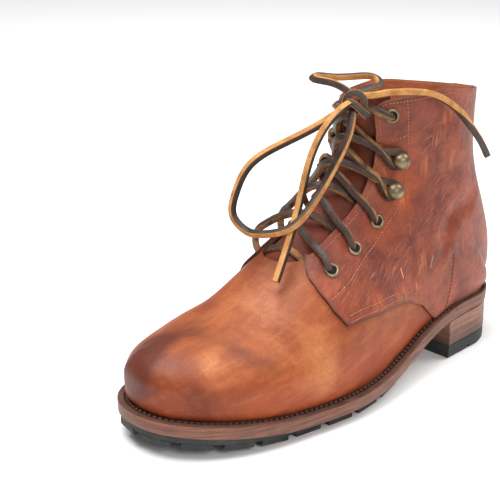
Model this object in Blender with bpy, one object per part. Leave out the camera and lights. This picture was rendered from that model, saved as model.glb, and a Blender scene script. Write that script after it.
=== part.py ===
"""Left lace-up work boot, built as a maker builds it: one object for each piece. Metres, +Z up, toe at +X.

The pieces are worked out in the last's own frame (heel at x = 0, lateral side at +Y, floor at z = 0) and
an empty moves them so that the part's origin is the middle of its footprint.
"""
import math

import bmesh
import bpy
import numpy as np
from mathutils import Matrix, Vector

# Sole outline
LENGTH = 0.300
HEEL_BACK = 0.004
TOE_BREAK = 0.215
HEEL_BREAK = 0.038
HEEL_BREAST = 0.068
WELT_END = 0.062
TOE_TIP_Y = -0.004
TOE_ROUND_LATERAL = 2.0
TOE_ROUND_MEDIAL = 2.3
HEEL_ROUND = 2.0

# Layers under the foot
GAP = 0.0003
FOOT_GAP = 0.0005
FITTING_GAP = 0.0006
WELT_THICK = 0.0030
MIDSOLE_THICK = 0.0055
HALF_SOLE_DEPTH = 0.0158
HEEL_LIFT_THICK = 0.0090
INSOLE_RISE = 0.0025
WELT_SHOWN = 0.0069
HEEL_SHOWN = 0.0030

# Upper and what lies on it
WALL = 0.0018
QUARTER_THICK = 0.0015
STRIP_THICK = 0.0010
STRIP_HALF_WIDTH = 0.0075
TONGUE_THICK = 0.0018
TONGUE_TUCK = 0.0065
TONGUE_GAP = 0.0013
TONGUE_RISE = [0.006, 0.012]
THROAT_LATERAL = 0.0135
THROAT_MEDIAL = -0.0165
CORNER_OPENING = 0.0070
GIRTH_SHARE = 0.30

# Lace and hardware
LACE_RADIUS = 0.0017
LACE_LIFT = 0.0062
LACE_RISE = 0.0040
LACE_TURN_ROWS = 0.0035
EYELET_PROFILE = [(0.0023, 0.0), (0.0044, 0.0), (0.0041, 0.0009), (0.0034, 0.0013), (0.0026, 0.0011)]
HOOK_PROFILE = [(0.0034, 0.0), (0.0034, 0.0008), (0.0021, 0.0012), (0.0021, 0.0038),
                (0.0050, 0.0045), (0.0055, 0.0062), (0.0046, 0.0085), (0.0026, 0.0099)]
ROUND_SIDES = 10

# Outline of the sole: x, lateral y, medial y
SOLE_WIDTHS = [
    (0.000, 0.0345, -0.0345),
    (0.038, 0.0365, -0.0360),
    (0.065, 0.0388, -0.0365),
    (0.100, 0.0438, -0.0355),
    (0.140, 0.0530, -0.0385),
    (0.180, 0.0572, -0.0480),
    (0.215, 0.0535, -0.0560),
    (0.240, 0.0520, -0.0565),
]
# Profile of the sole: x, top of the welt
WELT_TOP = [
    (0.000, 0.0365), (0.040, 0.0362), (0.070, 0.0345), (0.100, 0.0275), (0.130, 0.0200), (0.160, 0.0160),
    (0.190, 0.0150), (0.220, 0.0155), (0.250, 0.0185), (0.275, 0.0215), (0.300, 0.0245),
]
# Ribs of the upper from the toe break to the collar: bottom x, bottom z (None: on the welt), girth x and z,
# top x and z, lateral and medial half width, ridge y, roundness, lean of the rib across the foot, fullness of
# its lower part (lower is fuller)
RIBS = [
    (0.2150, None, 0.215, 0.033, 0.2130, 0.0720, 0.0495, -0.0498, -0.006, 2.00, 0.00, 1.00),
    (0.1900, None, 0.191, 0.036, 0.1900, 0.0880, 0.0522, -0.0465, -0.007, 1.90, 0.00, 1.00),
    (0.1600, None, 0.163, 0.040, 0.1690, 0.1030, 0.0495, -0.0415, -0.008, 1.82, 0.00, 1.00),
    (0.1250, None, 0.133, 0.046, 0.1510, 0.1160, 0.0440, -0.0370, -0.008, 1.80, 0.00, 1.00),
    (0.0900, None, 0.105, 0.054, 0.1400, 0.1280, 0.0385, -0.0350, -0.007, 1.82, 0.00, 1.00),
    (0.0600, None, 0.084, 0.064, 0.1340, 0.1370, 0.0368, -0.0350, -0.006, 1.88, 0.00, 1.00),
    (0.0360, None, 0.071, 0.075, 0.1310, 0.1440, 0.0350, -0.0340, -0.005, 1.92, 0.00, 0.80),
    (0.0200, None, 0.064, 0.085, 0.1295, 0.1490, 0.0332, -0.0325, -0.005, 1.95, 0.00, 0.65),
    (0.0110, None, 0.062, 0.092, 0.1290, 0.1520, 0.0320, -0.0315, -0.004, 1.98, 0.01, 0.58),
    (0.0066, None, 0.061, 0.098, 0.1285, 0.1545, 0.0312, -0.0308, -0.004, 2.00, 0.01, 0.55),
    (0.0030, 0.0480, 0.061, 0.105, 0.1280, 0.1572, 0.0300, -0.0296, -0.004, 2.02, 0.02, 0.58),
    (0.0022, 0.0600, 0.062, 0.112, 0.1280, 0.1600, 0.0296, -0.0292, -0.003, 2.05, 0.02, 0.66),
    (0.0060, 0.0790, 0.064, 0.124, 0.1280, 0.1640, 0.0291, -0.0287, -0.003, 2.10, 0.03, 0.78),
    (0.0140, 0.1010, 0.067, 0.139, 0.1280, 0.1675, 0.0288, -0.0284, -0.003, 2.15, 0.05, 0.90),
    (0.0200, 0.1250, 0.069, 0.154, 0.1280, 0.1710, 0.0288, -0.0282, -0.002, 2.20, 0.07, 1.00),
    (0.0208, 0.1490, 0.070, 0.168, 0.1280, 0.1745, 0.0289, -0.0282, -0.002, 2.20, 0.09, 1.00),
    (0.0195, 0.1690, 0.071, 0.1795, 0.1280, 0.1775, 0.0290, -0.0282, -0.002, 2.20, 0.10, 1.00),
]
# Toe dome ahead of the first rib: ribs that fan out from the crown of the toe
TOE_RIBS = 7
CROWN_X = 0.258
CROWN_Z = 0.0600
TOE_GIRTH = 0.0170
TOE_SWELL_LATERAL = 0.0028
TOE_SWELL_MEDIAL = 0.0018
TOE_ROUNDNESS = 2.00
FAN_SHARES = [0.8, 0.3]

# Rows of the rib table (toe ribs counted) where things start
THROAT_ROW = 8.05
THROAT_FULL_ROW = 8.75
QUARTER_ROW = 8.38
QUARTER_FOOT_ROW = 11.25
TONGUE_ROW = 7.4
SEAM_ROW = 16.0
# Rows at which the upper and what lies on it are cut, and the columns of one side
TOE_ROWS = [0.0, 0.6, 1.2, 1.9, 2.6, 3.4, 4.2, 5.1, 6.0, 7.0, 7.4, 7.75]
FOOT_ROWS = [THROAT_ROW, 8.12, 8.22, QUARTER_ROW, 8.55, THROAT_FULL_ROW, 9.15, 9.6, 10.0, 10.4, 10.75, 11.05,
             QUARTER_FOOT_ROW, 11.8, 12.4, 13.0, 13.7, 14.4, 15.0, 15.5, SEAM_ROW]
SHAFT_ROWS = [17.0, 17.8, 18.6, 19.4, 20.3, 21.2, 22.1, 23.0]
LOW_COLUMNS = 4
HIGH_COLUMNS = 8
# Lower edge of the quarter: row, height share of the rib
QUARTER_EDGE = [(8.38, 0.475), (9.00, 0.440), (9.60, 0.405), (10.30, 0.363), (10.75, 0.316), (11.05, 0.245),
                (11.25, 0.060), (13.00, 0.055), (15.00, 0.030), (16.00, 0.020), (17.80, 0.015)]
# Fittings down the throat from the toe up: name, row
EYELETS = [("eyelet_1", 8.80), ("eyelet_2", 9.78), ("eyelet_3", 11.09), ("eyelet_4", 21.34)]
HOOKS = [("hook_1", 12.76), ("hook_2", 16.92)]
FITTING_SETBACK = 0.115
# Notches round the half sole: x of the notch, width
NOTCHES = [(0.142, 0.006), (0.164, 0.006), (0.186, 0.006), (0.208, 0.006), (0.230, 0.006), (0.252, 0.006),
           (0.273, 0.006)]
NOTCH_DEPTH = 0.0085
NOTCH_HEIGHT = 0.0034
HALF_SOLE_START = 0.122
HALF_SOLE_INSET = 0.0052
HALF_SOLE_TOE_INSET = 0.0020

# The bow: the lace between the top eyelets and the knot, a knot that turns round itself, two loops and two
# free ends, as named runs of points
KNOT_CENTRE = (0.1335, 0.0065, 0.1800)
KNOT_RADIUS = 0.0040
KNOT_PITCH = 0.0042
KNOT_TURNS = 1.3
LACE_TO_MEDIAL_EYELET = [(0.1303, 0.0040, 0.1776), (0.1296, -0.0100, 0.1782), (0.1235, -0.0205, 0.1768),
                         (0.1160, -0.0276, 0.1730)]
LACE_FROM_LATERAL_EYELET = [(0.1225, 0.0240, 0.1748), (0.1285, 0.0180, 0.1768), (0.1303, 0.0087, 0.1776)]
LOOP_DOWN = [(0.1376, 0.0051, 0.1773), (0.1450, 0.0005, 0.1716), (0.1555, -0.0080, 0.1634),
             (0.1689, -0.0200, 0.1541), (0.1843, -0.0300, 0.1425), (0.1910, -0.0360, 0.1234),
             (0.1936, -0.0350, 0.1114), (0.1920, -0.0260, 0.1037), (0.1924, -0.0110, 0.1050),
             (0.1858, 0.0060, 0.1118), (0.1680, 0.0090, 0.1258), (0.1523, 0.0120, 0.1484),
             (0.1430, 0.0130, 0.1655), (0.1372, 0.0096, 0.1743)]
LOOP_UP = [(0.1354, 0.0045, 0.1858), (0.1420, -0.0030, 0.1911), (0.1487, -0.0120, 0.1930),
           (0.1389, -0.0180, 0.1921), (0.1226, -0.0180, 0.1886), (0.1114, -0.0100, 0.1888),
           (0.1014, -0.0040, 0.1870), (0.1032, 0.0010, 0.1850), (0.1180, 0.0055, 0.1846),
           (0.1279, 0.0060, 0.1843)]
END_BACK = [(0.1311, 0.0101, 0.1839), (0.1275, 0.0140, 0.1840), (0.1225, 0.0200, 0.1856),
            (0.1166, 0.0270, 0.1868), (0.1080, 0.0330, 0.1865), (0.0967, 0.0370, 0.1840),
            (0.0864, 0.0390, 0.1787), (0.0723, 0.0400, 0.1687), (0.0615, 0.0400, 0.1583),
            (0.0503, 0.0400, 0.1463), (0.0407, 0.0390, 0.1342)]
END_DOWN = [(0.1387, 0.0078, 0.1797), (0.1465, 0.0080, 0.1775), (0.1547, 0.0070, 0.1718),
            (0.1666, 0.0030, 0.1494), (0.1723, 0.0010, 0.1251), (0.1872, 0.0070, 0.1046),
            (0.2042, 0.0130, 0.0843)]

# Where the origin falls in the last's frame
FOOTPRINT_MIDDLE = (0.1495, 0.0004)

# Base colours
COLOURS = {
    "vamp": ((0.45, 0.14, 0.045, 1.0), 0.45, 0.0),
    "quarter": ((0.28, 0.075, 0.035, 1.0), 0.50, 0.0),
    "lining": ((0.42, 0.17, 0.07, 1.0), 0.60, 0.0),
    "welt": ((0.10, 0.045, 0.03, 1.0), 0.55, 0.0),
    "stack": ((0.22, 0.11, 0.065, 1.0), 0.55, 0.0),
    "rubber": ((0.045, 0.047, 0.047, 1.0), 0.70, 0.0),
    "brass": ((0.36, 0.29, 0.17, 1.0), 0.35, 1.0),
    "lace": ((0.09, 0.065, 0.05, 1.0), 0.65, 0.0),
}


def spline(knots, values, at):
    """Natural cubic spline through the knots, straight beyond its ends; values may have several columns."""
    knots = np.asarray(knots, float)
    values = np.asarray(values, float)
    at = np.asarray(at, float)
    count = len(knots)
    columns = values.reshape(count, -1)
    step = np.diff(knots)
    slope = np.diff(columns, axis=0) / step[:, None]
    system = np.eye(count)
    right = np.zeros_like(columns)
    for i in range(1, count - 1):
        system[i, i - 1:i + 2] = step[i - 1], 2 * (step[i - 1] + step[i]), step[i]
        right[i] = 6 * (slope[i] - slope[i - 1])
    bend = np.linalg.solve(system, right)
    i = np.clip(np.searchsorted(knots, at) - 1, 0, count - 2)
    inside = np.clip(at, knots[0], knots[-1])
    low = ((knots[i + 1] - inside) / step[i])[..., None]
    high = 1 - low
    width = step[i][..., None]
    result = low * columns[i] + high * columns[i + 1]
    result = result + ((low**3 - low) * bend[i] + (high**3 - high) * bend[i + 1]) * width**2 / 6
    start_slope = slope[0] - step[0] * bend[1] / 6
    end_slope = slope[-1] + step[-1] * bend[-2] / 6
    result = result + np.minimum(at - knots[0], 0)[..., None] * start_slope
    result = result + np.maximum(at - knots[-1], 0)[..., None] * end_slope
    return result.reshape(at.shape + values.shape[1:])


def ease(share):
    """Smooth step of a share from 0 to 1."""
    share = np.clip(share, 0, 1)
    return share * share * (3 - 2 * share)


def welt_top(x):
    """Height of the welt's upper face at x."""
    table = np.array(WELT_TOP)
    return spline(table[:, 0], table[:, 1], np.clip(x, 0, LENGTH))


def welt_shown(x):
    """Width of welt that shows beside the upper at x."""
    return HEEL_SHOWN + (WELT_SHOWN - HEEL_SHOWN) * ease((np.asarray(x) - 0.055) / 0.05)


def edge(x, inset):
    """Lateral and medial y of the sole's outline at x, set in from its edge."""
    x = np.asarray(x, float)
    table = np.array(SOLE_WIDTHS)
    widths = spline(table[:, 0], table[:, 1:], x)
    toe = np.clip((x - TOE_BREAK) / (LENGTH - inset - TOE_BREAK), 0, 1)
    heel = np.clip((HEEL_BREAK - x) / (HEEL_BREAK - HEEL_BACK - inset), 0, 1)
    back = (1 - heel**HEEL_ROUND) ** (1 / HEEL_ROUND)
    lateral_front = (1 - toe**TOE_ROUND_LATERAL) ** (1 / TOE_ROUND_LATERAL)
    medial_front = (1 - toe**TOE_ROUND_MEDIAL) ** (1 / TOE_ROUND_MEDIAL)
    middle = TOE_TIP_Y * np.clip((x - 0.1) / 0.19, 0, 1)
    lateral = middle + (widths[..., 0] - inset - middle) * back * lateral_front
    medial = middle + (widths[..., 1] + inset - middle) * back * medial_front
    return lateral, medial


def rib_rows():
    """The rib table with its toe dome: the table's columns, the feather line and the share of fan for each rib."""
    body = []
    for k, (bottom_x, bottom_z, girth_x, girth_z, top_x, top_z, half_l, half_m, ridge, roundness,
            lean, fullness) in enumerate(RIBS):
        foot_l = foot_m = 0.0
        if bottom_z is None:
            bottom_z = float(welt_top(bottom_x)) + FOOT_GAP
            foot_l, foot_m = edge(bottom_x, welt_shown(bottom_x))
            if bottom_x < HEEL_BACK + HEEL_SHOWN:
                foot_l = foot_m = 0.0
        body.append((bottom_x, bottom_z, girth_x, girth_z, top_x, top_z, float(foot_l), float(foot_m),
                     half_l, half_m, ridge, roundness, lean, FAN_SHARES[k] if k < len(FAN_SHARES) else 0.0,
                     fullness))
    toe = []
    tip = LENGTH - WELT_SHOWN
    for k in range(TOE_RIBS):
        turn = math.pi / 2 * k / TOE_RIBS
        x = TOE_BREAK + (tip - TOE_BREAK) * math.cos(turn)
        foot_l, foot_m = (float(y) for y in edge(x, WELT_SHOWN))
        bottom_z = float(welt_top(x)) + FOOT_GAP
        top_x = RIBS[0][4] + (CROWN_X - RIBS[0][4]) * math.cos(turn)
        behind = (CROWN_X - top_x) / (CROWN_X - RIBS[0][4])
        top_z = CROWN_Z + (RIBS[0][5] - CROWN_Z) * behind**2
        ridge = TOE_TIP_Y + (RIBS[0][8] - TOE_TIP_Y) * math.sin(turn)
        toe.append((x, bottom_z, x + TOE_SWELL_LATERAL * math.cos(turn), bottom_z + TOE_GIRTH, top_x, top_z,
                    foot_l, foot_m, foot_l + TOE_SWELL_LATERAL * math.sin(turn),
                    foot_m - TOE_SWELL_MEDIAL * math.sin(turn), ridge, TOE_ROUNDNESS, 0.0, 1.0, 1.0))
    return np.array(toe + body)


ROWS = rib_rows()
MIDDLES = (ROWS[:, 0:2] + ROWS[:, 2:4] + ROWS[:, 4:6]) / 3
RUN = np.concatenate([[0], np.cumsum(np.linalg.norm(np.diff(MIDDLES, axis=0), axis=1) ** 0.7)])
RUN = RUN / RUN[-1]
# One more rib ahead of the tip, the mirror of the next one, keeps the toe smooth across its middle
MIRROR = ROWS[1].copy()
MIRROR[[6, 7, 8, 9]] = 2 * TOE_TIP_Y - ROWS[1][[6, 7, 8, 9]]
KNOTS = np.concatenate([[-RUN[1]], RUN])
TABLE = np.vstack([MIRROR, ROWS])


def station(row):
    """Place along the upper, 0 at the toe tip and 1 at the collar, of a row of the rib table."""
    return np.interp(row, np.arange(len(ROWS)), RUN)


def upper_points(stations, heights, side):
    """Points of the upper's outer face; heights run from 0 at the foot of a rib to 1 at its ridge."""
    rib = spline(KNOTS, TABLE, np.asarray(stations, float))
    foot, half = (rib[..., 6], rib[..., 8]) if side > 0 else (rib[..., 7], rib[..., 9])
    foot = np.where(np.asarray(stations) > station(SEAM_ROW - 0.001), 0.0, foot)
    floor = welt_top(rib[..., 0]) + FOOT_GAP
    bottom_z = np.where(np.asarray(stations) <= station(SEAM_ROW), floor, np.maximum(rib[..., 1], floor))
    low = np.clip(heights / GIRTH_SHARE, 0, 1) * math.pi / 2
    high = np.clip((heights - GIRTH_SHARE) / (1 - GIRTH_SHARE), 0, 1) * math.pi / 2
    below = heights < GIRTH_SHARE
    power = 2 / rib[..., 11]
    rise = np.where(below, 1 - np.cos(low), np.sin(high) ** power)
    width = np.where(below, np.sin(low) ** rib[..., 14], np.cos(high).clip(0) ** power)
    y = np.where(below, foot + (half - foot) * width, rib[..., 10] + (half - rib[..., 10]) * width)
    forward = rise + (1 - width - rise) * rib[..., 13]
    x = np.where(below, rib[..., 0] + (rib[..., 2] - rib[..., 0]) * (rise + (width - rise) * rib[..., 13]),
                 rib[..., 2] + (rib[..., 4] - rib[..., 2]) * forward)
    z = np.where(below, bottom_z + (rib[..., 3] - bottom_z) * rise,
                 rib[..., 3] + (rib[..., 5] - rib[..., 3]) * rise)
    return np.stack([x, y, z + rib[..., 12] * y], -1)


def upper_normals(stations, heights, side):
    """Outward normals of the upper's outer face."""
    small = 0.002
    low = np.clip(heights - small, 0.001, 0.997)
    high = np.clip(heights + small, 0.003, 0.999)
    along = upper_points(stations + small, heights, side) - upper_points(stations - small, heights, side)
    up = upper_points(stations, high, side) - upper_points(stations, low, side)
    normal = np.cross(along, up) * side
    return normal / np.linalg.norm(normal, axis=-1, keepdims=True)


def height_at_y(stations, y, side):
    """Height share at which the ribs reach a given y on their upper half."""
    rib = spline(KNOTS, TABLE, np.asarray(stations, float))
    half = rib[..., 8] if side > 0 else rib[..., 9]
    reach = np.where(np.abs(half - rib[..., 10]) < 1e-9, 1e-9, half - rib[..., 10])
    share = np.clip((y - rib[..., 10]) / reach, 0, 1)
    turn = np.arccos(share ** (rib[..., 11] / 2))
    return GIRTH_SHARE + (1 - GIRTH_SHARE) * turn / (math.pi / 2)


def facing_y(stations, side):
    """y of a facing's edge: the lateral one runs straight, the medial one follows the ridge."""
    if side > 0:
        return np.full(np.shape(stations), THROAT_LATERAL)
    return spline(KNOTS, TABLE[:, 10], stations) + THROAT_MEDIAL


def throat_edge(stations, side):
    """Height share of the throat's edge: 1 ahead of the throat, then the facing's edge, rounded at its ends."""
    start, full = station(THROAT_ROW), station(THROAT_FULL_ROW)
    share = np.clip((stations - start) / (full - start), 0, 1)
    opening = np.sqrt(1 - (1 - share) ** 2)
    corner = np.clip((stations - 0.93) / 0.07, 0, 1)
    away = CORNER_OPENING * (1 - np.sqrt(1 - corner**2))
    ridge = spline(KNOTS, TABLE[:, 10], stations)
    wanted = facing_y(stations, side) + side * away
    at_y = height_at_y(stations, ridge + (wanted - ridge) * opening, side)
    return np.where(stations <= start, 1.0, at_y)


def make_object(name, mesh, colour):
    """An object with its own plain material, hung from the part's empty."""
    item = bpy.data.objects.new(name, mesh)
    bpy.context.scene.collection.objects.link(item)
    base, rough, metal = COLOURS[colour]
    material = bpy.data.materials.new(name)
    material.use_nodes = True
    shader = material.node_tree.nodes["Principled BSDF"]
    shader.inputs["Base Color"].default_value = base
    shader.inputs["Roughness"].default_value = rough
    shader.inputs["Metallic"].default_value = metal
    mesh.materials.append(material)
    item.parent = BOOT
    return item


def mesh_from(name, vertices, faces):
    """A mesh with coincident points joined and faces that vanished left out."""
    mesh = bpy.data.meshes.new(name)
    work = bmesh.new()
    points = [work.verts.new(tuple(v)) for v in vertices]
    for face in faces:
        work.faces.new([points[i] for i in face])
    bmesh.ops.remove_doubles(work, verts=work.verts, dist=0.00002)
    bmesh.ops.dissolve_degenerate(work, edges=work.edges, dist=0.00001)
    work.to_mesh(mesh)
    work.free()
    return mesh


def grid_faces(rows, columns, first=0):
    """Quads over a grid of rows by columns of points."""
    faces = []
    for i in range(rows - 1):
        for j in range(columns - 1):
            a = first + i * columns + j
            faces.append((a, a + columns, a + columns + 1, a + 1))
    return faces


def patch(stations, heights, side, lift):
    """Grid of points over one side of the upper, lifted off its outer face, ordered so that faces look out."""
    across = np.repeat(stations[:, None], heights.shape[1], axis=1)
    points = upper_points(across, heights, side)
    if lift:
        points = points + upper_normals(across, heights, side) * lift
    return points if side > 0 else points[:, ::-1]


def sheet(name, points, colour, thickness, outward):
    """A piece of leather from one grid of points, given its thickness."""
    faces = grid_faces(points.shape[0], points.shape[1])
    item = make_object(name, mesh_from(name, points.reshape(-1, 3), faces), colour)
    solidify(item, thickness, outward)


def solidify(item, thickness, outward):
    """Gives a sheet its thickness, on the outer or the inner side of its faces."""
    shell = item.modifiers.new("thickness", "SOLIDIFY")
    shell.thickness = thickness
    shell.offset = 1.0 if outward else -1.0
    shell.use_even_offset = False
    shell.use_rim = True


def quarter_lower(stations):
    """Height share of the quarter's lower edge, down to the welt behind the arch and close to the back seam."""
    table = np.array(QUARTER_EDGE)
    return np.interp(stations, station(table[:, 0]), table[:, 1])


def side_heights(stations, side):
    """Height shares of the columns of one side: some below the quarter's lower edge, the rest up to the throat."""
    lower = quarter_lower(stations)[:, None]
    upper = throat_edge(stations, side)[:, None]
    below = lower * np.linspace(0, 1, LOW_COLUMNS)[None, :]
    above = lower + (upper - lower) * (np.linspace(0, 1, HIGH_COLUMNS) ** 1.2)[None, :]
    return np.concatenate([below[:, :-1], above], axis=1)


def build_upper():
    """The lasted shell: toe to collar in one sheet, open at throat, collar and foot."""
    stations = station(np.array(TOE_ROWS + FOOT_ROWS + SHAFT_ROWS))
    points, faces = [], []
    for side in (1, -1):
        grid = patch(stations, side_heights(stations, side), side, 0.0)
        faces += grid_faces(grid.shape[0], grid.shape[1], sum(len(part) for part in points))
        points.append(grid.reshape(-1, 3))
    item = make_object("upper", mesh_from("upper", np.vstack(points), faces), "vamp")
    solidify(item, WALL, outward=False)


def build_quarter(name, side):
    """The panel over the back of the foot and the shaft, laid on the upper's own face."""
    stations = station(np.array(FOOT_ROWS[FOOT_ROWS.index(QUARTER_ROW):] + SHAFT_ROWS))
    heights = side_heights(stations, side)[:, LOW_COLUMNS - 1:]
    sheet(name, patch(stations, heights, side, GAP), "quarter", QUARTER_THICK, outward=True)


def build_back_strip():
    """The strip that covers the back seam, from the heel rand to the collar."""
    stations = station(np.array(SHAFT_ROWS))
    rib = spline(KNOTS, TABLE, stations)
    sides = []
    for side in (1, -1):
        half = rib[:, 8] if side > 0 else -rib[:, 9]
        reach = GIRTH_SHARE * np.arcsin((STRIP_HALF_WIDTH / half) ** (1 / rib[:, 14])) / (math.pi / 2)
        heights = reach[:, None] * np.linspace(0, 1, 4)[None, :]
        sides.append(patch(stations, heights, side, 2 * GAP + QUARTER_THICK))
    lateral, medial = sides
    middle = (lateral[:, :1] + medial[:, -1:]) / 2
    sheet("back_strip", np.concatenate([medial[:, :-1], middle, lateral[:, 1:]], axis=1), "quarter",
          STRIP_THICK, outward=True)


def build_tongue():
    """The tongue: a sheet under the throat, tucked under the vamp and both facings."""
    rows = ([row for row in TOE_ROWS + FOOT_ROWS if row >= TONGUE_ROW] + SHAFT_ROWS[:-1])[::2] + SHAFT_ROWS[-1:]
    stations = np.concatenate([station(np.array(rows)), 1 + np.array(TONGUE_RISE)])
    sides = []
    for side in (1, -1):
        along = np.clip(stations, station(THROAT_FULL_ROW), 0.93)
        inner = height_at_y(along, facing_y(along, side) + side * TONGUE_TUCK, side)
        edge_height = height_at_y(along, facing_y(along, side), side)
        open_part = edge_height[:, None] + (0.999 - edge_height)[:, None] * np.linspace(0, 1, 4)[None, :]
        heights = np.concatenate([inner[:, None], (inner + edge_height)[:, None] / 2, open_part], axis=1)
        sides.append(patch(stations, heights, side, -(WALL + TONGUE_GAP)))
    lateral, medial = sides
    middle = (lateral[:, -1:] + medial[:, :1]) / 2
    sheet("tongue", np.concatenate([lateral[:, :-1], middle, medial[:, 1:]], axis=1), "lining", TONGUE_THICK,
          outward=False)


def half_outline(inset, start, finish, toe_inset=None):
    """x stations from the heel end to the toe end with the lateral and medial y of each."""
    tip = LENGTH - (inset if toe_inset is None else toe_inset)
    back = HEEL_BACK + inset
    heel = HEEL_BREAK - (HEEL_BREAK - back) * np.cos(np.linspace(0, math.pi / 2, 7))
    side = np.linspace(HEEL_BREAK, TOE_BREAK, 16)[1:-1]
    toe = TOE_BREAK + (tip - TOE_BREAK) * np.sin(np.linspace(0, math.pi / 2, 10))
    x = np.concatenate([heel, side, toe])
    x = np.unique(np.concatenate([[start], x[(x > start + 0.001) & (x < finish - 0.001)], [finish]]))
    return x


def plate(name, x, lateral, medial, top, bottom, colour):
    """A closed plate between two heights over pairs of edge points."""
    points = []
    for values in zip(x, lateral, medial, top, bottom):
        at, left, right, high, low = values
        points += [(at, left, high), (at, right, high), (at, right, low), (at, left, low)]
    faces = []
    for i in range(len(x) - 1):
        for j in range(4):
            a = 4 * i + j
            b = 4 * i + (j + 1) % 4
            faces.append((a, b, b + 4, a + 4))
    last = 4 * (len(x) - 1)
    faces.append((3, 2, 1, 0))
    faces.append((last, last + 1, last + 2, last + 3))
    return make_object(name, closed(mesh_from(name, points, faces)), colour)


def closed(mesh):
    """The same mesh with every face looking outwards."""
    work = bmesh.new()
    work.from_mesh(mesh)
    bmesh.ops.recalc_face_normals(work, faces=work.faces)
    work.to_mesh(mesh)
    work.free()
    return mesh


def ring(name, outer_inset, inner_extra, heel_side, colour):
    """A strip of the welt's layer round the toe or round the heel, closed at both ends."""
    back = HEEL_BACK
    turn = np.linspace(0, 1, 11)
    if heel_side:
        share = np.concatenate([np.sin(turn * math.pi / 2)])
        outer_x = HEEL_BREAK - (HEEL_BREAK - back) * share
        inner_x = HEEL_BREAK - (HEEL_BREAK - back - HEEL_SHOWN - inner_extra) * share
        run = np.linspace(WELT_END - 0.0006, HEEL_BREAK, 4)[:-1]
    else:
        share = np.sin(turn * math.pi / 2)
        outer_x = TOE_BREAK + (LENGTH - TOE_BREAK) * share
        inner_x = TOE_BREAK + (LENGTH - WELT_SHOWN - inner_extra - TOE_BREAK) * share
        run = np.linspace(WELT_END, TOE_BREAK, 15)[:-1]
    outer_x = np.concatenate([run, outer_x])
    inner_x = np.concatenate([run, inner_x])
    loop = []
    for side in (0, 1):
        outer = np.stack([outer_x, edge(outer_x, outer_inset)[side]], -1)
        inner_y = [edge(x, float(welt_shown(x)) + inner_extra)[side] for x in inner_x]
        inner = np.stack([inner_x, np.array(inner_y)], -1)
        pair = np.stack([outer, inner], 1)
        loop.append(pair if side == 0 else pair[::-1][1:])
    loop = np.concatenate(loop)
    points = []
    for outer, inner in loop:
        high_out, high_in = float(welt_top(outer[0])), float(welt_top(inner[0]))
        points += [(*outer, high_out), (*inner, high_in), (*inner, high_in - WELT_THICK),
                   (*outer, high_out - WELT_THICK)]
    faces = []
    for i in range(len(loop) - 1):
        for j in range(4):
            a = 4 * i + j
            b = 4 * i + (j + 1) % 4
            faces.append((a, b, b + 4, a + 4))
    last = 4 * (len(loop) - 1)
    faces.append((3, 2, 1, 0))
    faces.append((last, last + 1, last + 2, last + 3))
    return make_object(name, closed(mesh_from(name, points, faces)), colour)


def midsole_top(x):
    """Height of the midsole's upper face."""
    return welt_top(x) - WELT_THICK - GAP


def midsole_bottom(x):
    """Height of the midsole's lower face."""
    return midsole_top(x) - MIDSOLE_THICK


def build_sole():
    """Insole, welt, rand, midsole, half sole and the two pieces of the heel."""
    ring("welt", 0.0, WALL + 0.0006, False, "welt")
    ring("heel_rand", 0.0, WALL + 0.0006, True, "welt")

    inset = WALL + 0.0010
    x = half_outline(WELT_SHOWN + inset, HEEL_BACK + HEEL_SHOWN + inset, LENGTH - WELT_SHOWN - inset)
    sides = np.array([edge(at, float(welt_shown(at)) + inset) for at in x])
    plate("insole", x, sides[:, 0], sides[:, 1], welt_top(x) + INSOLE_RISE, midsole_top(x) + GAP, "lining")

    x = half_outline(0.0003, HEEL_BACK + 0.0003, LENGTH - 0.0003)
    lateral, medial = edge(x, 0.0003)
    plate("midsole", x, lateral, medial, midsole_top(x), midsole_bottom(x), "stack")

    build_half_sole()

    x = half_outline(0.0008, HEEL_BACK + 0.0008, HEEL_BREAST)
    lateral, medial = edge(x, 0.0008)
    plate("heel_stack", x, lateral, medial, midsole_bottom(x) - GAP, np.full_like(x, HEEL_LIFT_THICK + GAP),
          "stack")
    x = half_outline(0.0012, HEEL_BACK + 0.0012, HEEL_BREAST)
    lateral, medial = edge(x, 0.0012)
    plate("heel_lift", x, lateral, medial, np.full_like(x, HEEL_LIFT_THICK), np.zeros_like(x), "rubber")


def build_half_sole():
    """The rubber forefoot sole, flat under the ball, with notches that leave lugs along its edge."""
    tip = LENGTH - HALF_SOLE_TOE_INSET
    x = half_outline(HALF_SOLE_INSET, HALF_SOLE_START, tip, HALF_SOLE_TOE_INSET)
    inset = HALF_SOLE_INSET + (HALF_SOLE_TOE_INSET - HALF_SOLE_INSET) * ease((x - 0.225) / 0.05)
    sides = np.array([edge(at, float(by)) for at, by in zip(x, inset)])
    top = midsole_bottom(x) - GAP
    bottom = np.maximum(welt_top(x) - HALF_SOLE_DEPTH, 0.0)
    taper = np.clip((x - HALF_SOLE_START) / 0.03, 0, 1)
    bottom = np.minimum(bottom, top - 0.0018 - 0.004 * taper)
    sole = plate("half_sole", x, sides[:, 0], sides[:, 1], top, np.maximum(bottom, 0.0), "rubber")
    cutter = make_cutter()
    cut = sole.modifiers.new("lugs", "BOOLEAN")
    cut.operation = "DIFFERENCE"
    cut.solver = "EXACT"
    cut.object = cutter


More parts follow.
